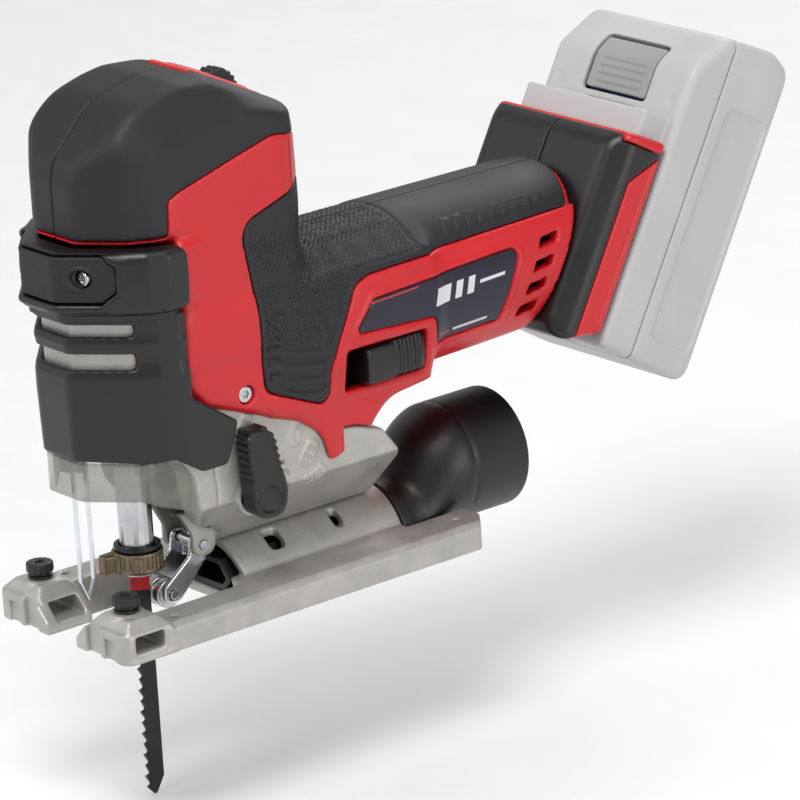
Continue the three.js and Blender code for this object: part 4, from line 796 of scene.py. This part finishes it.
def casting_marks(block, casting):
    """Orbital scale: badges with plain strokes, three detent dimples and a parting line."""
    left = block.x > GEAR_HALF - 4
    for y, z, angle, strokes in ((49.5, 60.5, 66, 1), (54.6, 51.5, 52, 2), (57.0, 42.6, 22, 3),
        (27.5, 67.5, 60, 0)):
        edge, along, across = badge(block, y, z, angle)
        casting = casting - 0.45 * (1 - ramp(edge, -0.3, 0.3)) * left
        for row in range(strokes + 1):
            stroke = both(np.abs(across + 1.5 - row * 1.3) - 0.25, np.abs(along) - 3.4 + row * 0.3)
            casting = casting + 0.5 * (1 - ramp(stroke, -0.15, 0.15)) * left
    for y, z in ((42.2, 50.8), (44.1, 46.8), (44.6, 42.0)):
        dimple = np.hypot(block.y - y, block.z - z) - 1.7
        casting = casting - 0.35 * (1 - ramp(np.abs(dimple), 0,
            0.6)) * left + 0.7 * (1 - ramp(dimple, -1.2, 0)) * left
    line = np.abs(block.y - 14.4 - 0.05 * (58 - block.z))
    return casting + 0.5 * (1 - ramp(line, 0.1, 0.45)) * (block.z < 62)


def gear_housing():
    block = Block((-33, -36, 12), (33, 99, 118), 0.6)
    wedge = both(block.side(GEAR_SIDE), block.face(GEAR_FACE), 1.6)
    column = both(both(block.plan(nose_plan(35, 30, 40)) + 3.4, block.y - 2.1),
        block.between("z", 69, 116.6), 1)
    casting = casting_marks(block, either(wedge, column, 2))
    ear_side = [(17, 18, 4.6), (27, 18, 4.6), (27, 27, 3), (24, 36), (12, 36), (17, 27, 3)]
    ears = both(block.side(ear_side), np.maximum(7.0 - np.abs(block.x), np.abs(block.x) - 9.2), 0.6)
    boss = both(block.along_x(7.2, LEVER_Y, LEVER_Z), block.between("x", 20, GEAR_HALF + 0.1), 0.5)
    casting = either(casting, boss, 1)
    cuts = [
        block.along_y(TUNNEL_RADIUS + 0.4, 0, 2),
        block.cuboid(-17, 17, -60, 20, 10, 61, 2),
        block.cuboid(-15, 15, 19, 42, 30, 61, 2),
        both(block.along_z(10.3, 0, 0), block.between("z", 50, 90)),
        block.cuboid(-22, 22, -9, 37, 76, 140, 2),
        both(block.along_y(14, 0, BARREL_Z), block.between("y", 30, 70)),
        both(block.along_x(5.4, LEVER_Y, LEVER_Z), block.between("x", 10, 40)),
        block.cuboid(-60, 60, 37.2, 70, 74, 120),
        both(block.along_x(1.8, 27.3, 80.1), 20 - block.x),
    ]
    for cutter in cuts:
        casting = without(casting, cutter, 0.8)
    casting = either(casting, ears, 0.8)
    casting = without(casting, both(block.along_x(1.7, PIVOT_Y, PIVOT_Z), np.abs(block.x) - 12),
        0.3)
    shaped("gear_housing", block, casting, "housing", "cast_aluminium")


# ---------------------------------------------------------------- sole
SOLE_HALF, SOLE_FRONT, SOLE_REAR, SOLE_THICK = 37.5, 34, 128, 10.5
FOOT_HEIGHT = 14.5
TUNNEL_REAR = 101.7
WINDOW_REAR = 27


def splay(half, z0, z1):
    return [(-half, z0), (half, z0), (half + z1 - z0, z1), (-half - z1 + z0, z1)]


def sole():
    block = Block((-39, -36, -1), (39, 130, 24), 0.5)
    plan = block.plan(mirrored([(SOLE_HALF, -SOLE_FRONT, 5), (SOLE_HALF, SOLE_REAR - 6, 2),
        (SOLE_HALF - 8, SOLE_REAR, 2)]))
    rails = both(block.face(mirrored([(SOLE_HALF, 0, 0.8), (SOLE_HALF, 8.3, 0.8),
        (35.3, SOLE_THICK, 0.8)])), plan, 0.8)
    foot_side = [
        (-SOLE_FRONT, 0, 0.8), (-SOLE_FRONT, 9, 1.5), (-29, FOOT_HEIGHT, 2), (-18, FOOT_HEIGHT, 2),
        (-14, SOLE_THICK), (-12, 0),
    ]
    foot_face = mirrored([(SOLE_HALF, 0), (SOLE_HALF, 9.5, 1.5), (32.5, FOOT_HEIGHT, 1.5)])
    feet = both(both(block.face(foot_face), plan, 0.8), block.side(foot_side), 0.8)
    tunnel_side = [(33, 0), (28, 30), (TUNNEL_REAR, 30), (TUNNEL_REAR, 0)]
    tunnel = both(both(block.along_y(TUNNEL_RADIUS, 0, 2), block.side(tunnel_side), 0.8),
        0.5 - block.z)
    body = either(either(rails, feet, 0.8), tunnel, 0.8)
    knob_pads = np.minimum(block.along_z(6.2, 24.8, -24), block.along_z(6.2, -24.8, -24))
    body = either(body, both(knob_pads, block.between("z", 5, FOOT_HEIGHT + 0.25), 0.6), 0.5)
    toe_x = np.abs(block.x)
    step = both(np.maximum(np.maximum(14 - toe_x, toe_x - 22), block.y + SOLE_FRONT - 1.6),
        block.z - 12)
    second = both(np.maximum(np.maximum(24.5 - toe_x, toe_x - 30.5), block.y + SOLE_FRONT - 1.2),
        block.between("z", -1, 7.4))
    guide_frame = both(block.side([(-31.2, 1.9, 1.5), (-15.8, 1.9, 1.5), (-15.8, 11, 1.5),
        (-31.2, 11, 1.5)]), SOLE_HALF - 0.5 - toe_x)
    cuts = [
        both(block.along_y(17.4, 0, 2), np.maximum(4 - block.z, 22 - block.y)),
        both(block.face(splay(12, -1, 40)), block.between("y", -15, WINDOW_REAR)),
        both(np.minimum(block.face(splay(8.1, 4, 40)), block.cuboid(-8.1, 8.1, -90, 90, -5, 5)),
            block.y + 13.9),
        block.cuboid(-60, 60, -29.5, -17.5, 3.4, 9.4, 1.2),
        both(np.minimum(block.along_z(2.6, 24.8, -24), block.along_z(2.6, -24.8, -24)),
            8 - block.z),
        block.cuboid(-21.1, 21.1, TUNNEL_REAR, 140, 4, 60, 1),
        both(block.along_z(4.4, 0, 64), block.z - 3),
        both(np.minimum(block.along_z(1.5, 29, 118), block.along_z(1.5, 31.5, -9)), 8 - block.z),
        both(np.minimum(block.along_z(1.5, -29, 118), block.along_z(1.5, -31.5, -9)), 8 - block.z),
        step,
        second,
        guide_frame,
    ]
    for y0, y1, deep in ((46, 52.5, 14), (75, 79, 15)):
        for side in (-1, 1):
            cuts.append(block.cuboid(min(side * 8.5, side * 15.5), max(side * 8.5, side * 15.5), y0,
                y1, deep, 40, 2))
    for cutter in cuts:
        body = without(body, cutter, 0.6)
    shaped("sole", block, body, "base", "cast_aluminium", sharp=28)


# ---------------------------------------------------------------- dust port
PORT_RADIUS, PORT_REAR, PORT_BORE, CUP_Z = 20.8, 159, 17.8, 21.5


def dust_port():
    block = Block((-22, 100, -1), (22, 161, 44), 0.5)
    share = ramp(block.y, 106, 133)
    centre = 2 + (CUP_Z - 2) * share
    radius = np.interp(block.y, [102, 106, 113, 122, 131, 160],
        [20.3, 20.3, 19.2, 19.6, 20.7, PORT_RADIUS])
    tube = np.hypot(block.x, block.z - centre) - radius
    dome = np.sqrt(block.x ** 2 + (block.z - CUP_Z) ** 2 + (np.minimum(block.y - 134,
        0) * 0.92) ** 2) - PORT_RADIUS
    outer = tube
    outer = either(outer, dome, 5)
    floor = np.where(block.y < SOLE_REAR + 1, 4.3 - block.z, 0.4 - block.z)
    outer = both(both(outer, floor), both(102 - block.y, block.y - PORT_REAR, 1), 1.2)
    lip = 0.35 * np.exp(-((block.y - 134.5) / 0.8) ** 2)
    outer = outer + lip * (block.z > 10)
    bore = both(block.along_y(PORT_BORE, 0, CUP_Z), 134.5 - block.y)
    passage = both(np.hypot(block.x, block.z - centre) - radius + 2.6,
        np.maximum(block.y - 136, 6.5 - block.z))
    port = without(without(outer, bore, 1.0), passage, 0.5)
    shaped("dust_port", block, port, "dust_port", "hard_black")


# ---------------------------------------------------------------- battery foot and pack
# These fields are made in the leaning frame: y runs out of the slide's face, z along it.
FOOT_HALF, FOOT_BACK = 37.5, 128
RAIL_HALF, RAIL_DEPTH = 32, 10.5
TRIM_SIDE = [(116, 120), (116, 199, 3), (131, 216), (131, 120)]
FOOT_PROFILE = [(FOOT_N, 143, 6), (FOOT_N, 210, 8), (110, 216, 5), (FOOT_BACK, 217),
    (FOOT_BACK, 145.5), (111, 138, 5)]
FOOT_PLAN = mirrored([(31, FOOT_N - 0.2, 7), (FOOT_HALF, 113, 7), (FOOT_HALF, FOOT_BACK)])


def foot_fields(block):
    form = both(block.side(FOOT_PROFILE), block.plan(FOOT_PLAN), 3)
    floor = FOOT_BACK - RAIL_DEPTH - 0.65
    bay = np.minimum(block.cuboid(-32.4, 32.4, floor, 140, 152, 280),
        block.cuboid(-28, 28, floor, 140, 208, 280))
    side_trim = both(block.side(TRIM_SIDE), 35 - np.abs(block.x), 0.8)
    top_trim = block.cuboid(-60, 60, 110, 140, 212.5, 260)
    return form, floor, bay, side_trim, top_trim


def battery_foot():
    for flip, side in SIDES:
        block = Block((-1.5, 103, 136), (39, 130, 219), 0.5)
        form, floor, bay, side_trim, top_trim = foot_fields(block)
        hollow = both(form + 3, block.y - floor + 2.5)
        world_z = block.z * math.cos(LEAN) - block.y * math.sin(LEAN)
        door = both(np.hypot(block.x, world_z - BARREL_Z) - 16, block.y - 111)
        terminal = block.cuboid(-13.3, 13.3, floor - 5, floor + 5, 157.7, 176.3)
        shell = form
        for cutter in (hollow, bay, door, terminal, side_trim - 0.25, top_trim - 0.25):
            shell = without(shell, cutter, 0.7)
        shell = both(shell, seam(block), 0.5)
        shaped(f"battery_foot_{side}", block, shell, "housing", "soft_black",
            material=look("hard_black"), leaning=True, flip=flip)
        trim = both(without(form, bay), side_trim + 0.1, 0.9)
        groove = np.abs(block.y - 124.2)
        trim = trim + 0.5 * (1 - ramp(groove, 0.2, 0.7)) * (block.x > 36)
        shaped(f"foot_trim_{side}", block, trim, "housing", "red_shell", leaning=True, flip=flip)
    block = Block((-39, 103, 205), (39, 130, 219), 0.45)
    form, floor, bay, side_trim, top_trim = foot_fields(block)
    notch = both(np.abs(block.x) - 9.5, 116.2 - block.y)
    trim = both(without(form, bay), top_trim + 0.1, 0.9)
    trim = without(trim, notch, 0.8)
    shaped("foot_top_trim", block, trim, "housing", "red_shell", leaning=True)


FACE = FOOT_BACK + 0.35
PACK_BACK = FACE + 51.2
PACK_LOW, PACK_TOP = 139, 260
PACK_SIDE = [
    (FACE, PACK_LOW + 2, 5), (PACK_BACK, PACK_LOW, 9), (PACK_BACK, PACK_TOP - 3, 12),
    (PACK_BACK - 14, PACK_TOP + 3, 10),
    (FACE + 12, PACK_TOP + 1, 6), (FACE, PACK_TOP - 16, 6),
]
PACK_PLAN = mirrored([(37, FACE, 3), (37, PACK_BACK - 4, 6), (28, PACK_BACK, 6)])
PACK_SEAM = FACE + 17


def pack_form(block):
    return both(block.side(PACK_SIDE), block.plan(PACK_PLAN), 4)


def battery_pack():
    block = Block((-39, 143, 136), (39, 182, 266), 0.72)
    form = pack_form(block)
    across = np.abs(block.x)
    panel = both(block.side([(151, 150, 4), (173, 150, 4), (173, 238, 4), (151, 238, 4)]),
        34 - across)
    form = form + 0.9 * (1 - ramp(panel, -0.9, 0.2))
    rear_panel = both(block.face([(-21, 152, 5), (21, 152, 5), (21, 236, 5), (-21, 236, 5)]),
        PACK_BACK - 6 - block.y)
    form = form + 0.6 * (1 - ramp(rear_panel, -0.8, 0.2))
    case = both(without(form, form + 2.5), PACK_SEAM + 0.15 - block.y, 0.6)
    shaped("battery_case", block, case, "battery", "pack_grey", leaning=True)

    block = Block((-39, 116.5, 136), (39, PACK_SEAM + 1, 266), 0.62)
    form = pack_form(block)
    panel = block.face([(-13.5, 219, 1.5), (13.5, 219, 1.5), (13.5, 227.5, 1.5),
        (-13.5, 227.5, 1.5)])
    lamps = block.between("z", 221, 225.5)
    lamps = both(np.minimum(np.minimum(np.abs(block.x + 8), np.abs(block.x)),
        np.abs(block.x - 8)) - 2.4, lamps)
    front = block.y < FACE + 6
    form = form + (0.8 * (1 - ramp(panel, -0.5, 0.3)) - 0.7 * (1 - ramp(lamps, -0.4, 0.4))) * front
    rail = block.cuboid(-RAIL_HALF, RAIL_HALF, FOOT_BACK - RAIL_DEPTH, FACE + 3, 154, 226, 1)
    shell = without(form, form + 2.5)
    shell = np.minimum(shell, rail)
    for cutter in (
        block.cuboid(-14, 14, 110, FACE + 12, 100, 178, 1),
        block.cuboid(-17, 17, FACE - 1, FACE + 8, PACK_TOP - 30, PACK_TOP - 8, 2),
        block.cuboid(-29, 29, FOOT_BACK - RAIL_DEPTH + 3, FACE + 5, 180, 223, 1),
        np.minimum(*[both(block.along_y(1.9, x, 232), block.y - FACE - 1.2) for x in (-30, 30)]),
    ):
        shell = without(shell, cutter, 0.6)
    cover = both(shell, block.y - PACK_SEAM + 0.15, 0.6)
    shaped("battery_cover", block, cover, "battery", "pack_grey", leaning=True)

    block = Block((-17, FACE - 1, PACK_TOP - 31), (17, FACE + 9, PACK_TOP - 8), 0.36)
    button = both(block.cuboid(-16, 16, FACE + 0.5, FACE + 7, PACK_TOP - 29, PACK_TOP - 9, 1.4),
        pack_form(block) + 0.6, 0.8)
    ribs = 0.6 * (0.5 + 0.5 * np.cos(2 * math.pi * (block.z - PACK_TOP) / 3.0))
    button = button + ribs * (1 - ramp(np.abs(block.x), 11, 12.5)) * (1 - ramp(block.z,
        PACK_TOP - 18, PACK_TOP - 16))
    shaped("battery_latch", block, button, "latch", "pack_dark", leaning=True)


# ---------------------------------------------------------------- controls and blade gear
def orbital_lever():
    block = Block((14, 20, 33), (39, 42, 72), 0.33)
    corners = [
        (25, 36, 6), (37.5, 36, 5), (39, 44.5, 5), (35, 64.9, 5), (31.5, 68.9, 2),
        (24.5, 68.9, 3), (22.5, 65.9, 2),
    ]
    edge = block.side(corners)
    body = both(edge, block.between("x", 29, 37), 1.3)
    ribs = 0.5 * (0.5 + 0.5
        * np.cos(2 * math.pi * (block.z + block.y * 0.25) / 2.6)) * ramp(block.z, 50, 52)
    body = body + ribs * ramp(edge, -1.6, -0.6)
    dish = 0.7 * (1 - ramp(edge + 2.2, -0.3, 0.6)) * (block.x > 33)
    body = body + dish
    rim = np.abs(np.hypot(block.y - LEVER_Y, block.z - LEVER_Z) - 4.4)
    body = body - 0.5 * (1 - ramp(rim, 0.2, 0.9)) * (block.x > 33)
    shaft = both(block.along_x(5, LEVER_Y, LEVER_Z), block.between("x", 16, 30))
    lever = either(body, shaft, 0.4)
    shaped("orbital_lever", block, lever, "lever", "hard_black")


def switch_slider():
    block = Block((-35, 77, 66), (35, 108, 86), 0.42)
    across = np.abs(block.x)
    outer = 32.1 - 0.02 * (block.z - 77) ** 2
    ribs = 0.9 * (0.5 + 0.5 * np.cos(2 * math.pi * (block.y - 92) / 3.4)) * ramp(block.y, 91.5, 93)
    slab = both(both(block.side([(79, 70.2, 1.5), (106.4, 70.2, 1.5), (106.4, 83.8, 1.5),
        (79, 83.8, 1.5)]),
                     np.maximum(23 - across, across - outer + ribs), 1), 78 - block.y)
    front = both(block.side([(79, 70.6, 1.5), (91.5, 70.6, 1.5), (91.5, 83.4, 1.5),
        (79, 83.4, 1.5)]),
                 np.maximum(23 - across, across - outer - 1.9), 1.1)
    link = block.cuboid(-24, 24, 82, 88, 67.6, 71, 0.6)
    slider = either(either(slab, front, 0.8), link, 0.4)
    shaped("switch_slider", block, slider, "switch", "hard_black")


def speed_wheel():
    block = Block((-4, 35, 167), (4, 55, 187), 0.3)
    radius = np.hypot(block.y - 45, block.z - 176.8)
    angle = np.arctan2(block.z - 176.8, block.y - 45)
    rim = radius - 8.6 - 0.4 * np.cos(angle * 22)
    wheel = without(both(rim, np.abs(block.x) - 3.4, 0.8), radius - 1.8, 0.3)
    shaped("speed_wheel", block, wheel, "speed", "hard_black")


def guide_screws():
    for flip, side in SIDES:
        block = Block((19, -30, 9), (31, -18, 21.5), 0.28)
        radius = np.hypot(block.x - 24.8, block.y + 24)
        angle = np.arctan2(block.y + 24, block.x - 24.8)
        flutes = 0.35 * np.maximum(np.cos(angle * 14), 0)
        head = both(radius - 4.8 + flutes, block.between("z", 16.9, 20.4), 0.7)
        foot = both(radius - 4.4, block.between("z", 14.9, 15.9), 0.4)
        neck = both(radius - 3.2, block.between("z", 15.5, 17.2))
        stem = both(radius - 2.1, block.between("z", 9.7, 17), 0.3)
        socket = both(radius - 1.6, 19.6 - block.z)
        screw = without(either(either(head, neck, 0.6), either(foot, stem, 0.2), 0.4), socket, 0.3)
        shaped(f"guide_screw_{side}", block, screw, f"knob_{side}", "hard_black", flip=flip)


def clamp_parts():
    block = Block((-10, -17, 15), (10, 10, 29), 0.28)
    radius = np.hypot(block.x, block.y)
    angle = np.arctan2(block.y, block.x)
    bore = radius - 6.35
    knurl = 0.35 * np.maximum(np.cos(angle * 26), 0) * (block.between("z", 19, 23.5) < 0)
    sleeve = both(radius - 8.8 + knurl, block.between("z", 17.5, 25), 0.6)
    tab = both(block.plan([(0, -6), (-5.5, -6), (-5.5, -12.6, 1), (-4, -13.8, 1), (-1.5, -13, 1),
        (0, -8)]),
               block.between("z", 17.7, 24.3), 0.8)
    collar = without(either(sleeve, tab, 1), bore, 0.3)
    shaped("clamp_collar", block, collar, "clamp", "bronze_collar")
    ring = without(both(radius - 8.2, block.between("z", 25.3, 27), 0.4), bore, 0.2)
    shaped("collar_ring", block, ring, "plunger", "hard_black")
    body = both(radius - 5.7, block.between("z", 16, 26.7), 0.5)
    body = without(body, block.cuboid(-0.9, 0.9, -4, 4, 0, 60), 0.2)
    shaped("clamp_body", block, body, "plunger", "bright_steel")


def guide_parts():
    block = Block((-8, 3, 0), (8, 27, 28), 0.27)
    roller_y, roller_z = 9.25, 6.5
    arm = block.side([
        (6.25, 3.5, 3), (12.25, 3.3, 3), (24.5, 15.3, 2), (24.7, 25.3, 2.8), (18.5, 25.5, 2.8),
        (17.5, 18.3, 3), (6.25, 9.7, 3),
    ])
    across = np.abs(block.x)
    arms = both(arm, np.maximum(4.7 - across, across - 6.2), 0.45)
    web = both(block.side([(22.5, 15.3, 0.6), (24.3, 15.7, 0.6), (24.3, 19.7, 0.6),
        (22.5, 19.7, 0.6)]), across - 5.9)
    bores = np.minimum(block.along_x(1.95, PIVOT_Y, PIVOT_Z),
        block.along_x(1.8, roller_y, roller_z))
    bracket = without(either(arms, web, 0.8), bores, 0.2)
    shaped("guide_bracket", block, bracket, "bracket", "zinc_plate", sharp=28)
    radius = np.hypot(block.y - roller_y, block.z - roller_z)
    groove = 0.9 * (1 - ramp(across, 0.7, 1.1))
    roller = without(both(radius - 5.2 + groove, across - 4.2, 0.5), radius - 1.85, 0.2)
    shaped("guide_roller", block, roller, "roller", "bright_steel")
    axle = both(radius - 1.5, across - 7.2, 0.4)
    shaped("roller_axle", block, axle, "bracket", "bright_steel")


def screws():
    for side, x in (("left", SCREW_X), ("right", -SCREW_X)):
        block = Block((x - 4, -27.5, SCREW_Z - 4), (x + 4, -10, SCREW_Z + 4), 0.22)
        radius = np.hypot(block.x - x, block.z - SCREW_Z)
        angle = np.arctan2(block.z - SCREW_Z, block.x - x)
        star = radius - 1.1 - 0.3 * np.cos(angle * 6)
        screw = np.minimum(both(radius - 2.6, block.between("y", -26, -23.6), 0.4),
            both(radius - 1.6, block.between("y", -24, -11)))
        screw = without(screw, both(star, block.y + 24.8), 0.1)
        shaped(f"band_screw_{side}", block, screw, "housing", "bright_steel")
    block = Block((23.5, 23.5, 76.3), (32, 31.1, 83.9), 0.22)
    radius = np.hypot(block.y - 27.3, block.z - 80.1)
    angle = np.arctan2(block.z - 80.1, block.y - 27.3)
    star = radius - 1.25 - 0.3 * np.cos(angle * 6)
    screw = np.minimum(both(radius - 2.9, block.between("x", 29.1, 31.3), 0.4),
        both(radius - 1.5, block.between("x", 24.5, 30)))
    screw = without(screw, both(star, 30.1 - block.x), 0.1)
    shaped("housing_screw", block, screw, "housing", "bright_steel")


# ---------------------------------------------------------------- finishes on carried-over parts
SLOT_OF = {
    "plunger": "bright_steel", "saw_blade": "blade_black", "wire_guard": "zinc_plate",
    "rotor": "bright_steel",
    "cooling_fan": "hard_black", "drive_gear": "bright_steel", "gear_axle": "bright_steel",
    "bracket_pin": "bright_steel",
    "lower_bush": "bush_brass", "upper_bush": "bush_brass", "motor_stator": "motor_iron",
    "front_bearing": "bright_steel",
    "rear_bearing": "bright_steel", "bearing_plate": "cast_aluminium",
    "bush_bridge": "cast_aluminium",
    "bevel_clamp_screw": "bright_steel", "dust_duct": "hard_black", "switch_module": "hard_black",
    "controller_board": "circuit_green", "speed_wheel_pin": "bright_steel",
    "terminal_block": "hard_black",
    "battery_cells": "cell_wrap",
}
FINE_EDGES = {"saw_blade": 0.12, "cooling_fan": 0.15, "drive_gear": 0.2, "wire_guard": 0.0,
    "rotor": 0.2}


def finish_carried_parts():
    for name, slot in SLOT_OF.items():
        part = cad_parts[name]
        part.data.materials.clear()
        part.data.materials.append(look(slot))
        width = FINE_EDGES.get(name, 0.3)
        if width:
            bevel = part.modifiers.new("edges", "BEVEL")
            bevel.width = width * MM
            bevel.segments = 2
            bevel.limit_method = "ANGLE"
            bevel.angle_limit = math.radians(35)


# ---------------------------------------------------------------- stage
def studio():
    floor_mesh = bpy.data.meshes.new("floor")
    low = -0.0668
    floor_mesh.from_pydata([(-6, -6, low), (6, -6, low), (6, 6, low), (-6, 6, low)], [],
        [(0, 1, 2, 3)])
    floor = bpy.data.objects.new("floor", floor_mesh)
    bpy.context.scene.collection.objects.link(floor)
    floor_mesh.materials.append(look("floor"))
    middle = Vector((0, 0.03, 0.09))
    for name, place_at, size, power in (
        ("key", (0.5, -0.7, 1.7), 0.9, 24),
        ("fill", (-0.9, -1.5, 0.9), 1.2, 8),
        ("side", (1.7, 0.3, 0.5), 1.0, 8),
        ("rim", (-0.7, 1.4, 1.3), 1.2, 12),
    ):
        data = bpy.data.lights.new(name, "AREA")
        data.energy = power
        data.size = size
        lamp = bpy.data.objects.new(name, data)
        lamp.location = place_at
        lamp.rotation_euler = (middle - lamp.location).to_track_quat("-Z", "Y").to_euler()
        bpy.context.scene.collection.objects.link(lamp)
    world = bpy.context.scene.world or bpy.data.worlds.new("studio")
    bpy.context.scene.world = world
    world.use_nodes = True
    background = world.node_tree.nodes["Background"]
    background.inputs["Color"].default_value = (1, 1, 1, 1)
    background.inputs["Strength"].default_value = 0.5
    bpy.context.scene.view_settings.view_transform = "Standard"


for build in (
    head_caps, grips, housings, labels, speed_bezel, front_band,
    front_pad, front_skirt, chip_shield, gear_housing, sole, dust_port,
    battery_foot, battery_pack, orbital_lever, switch_slider, speed_wheel,
    guide_screws, clamp_parts, guide_parts, screws,
):
    build()
finish_carried_parts()
studio()
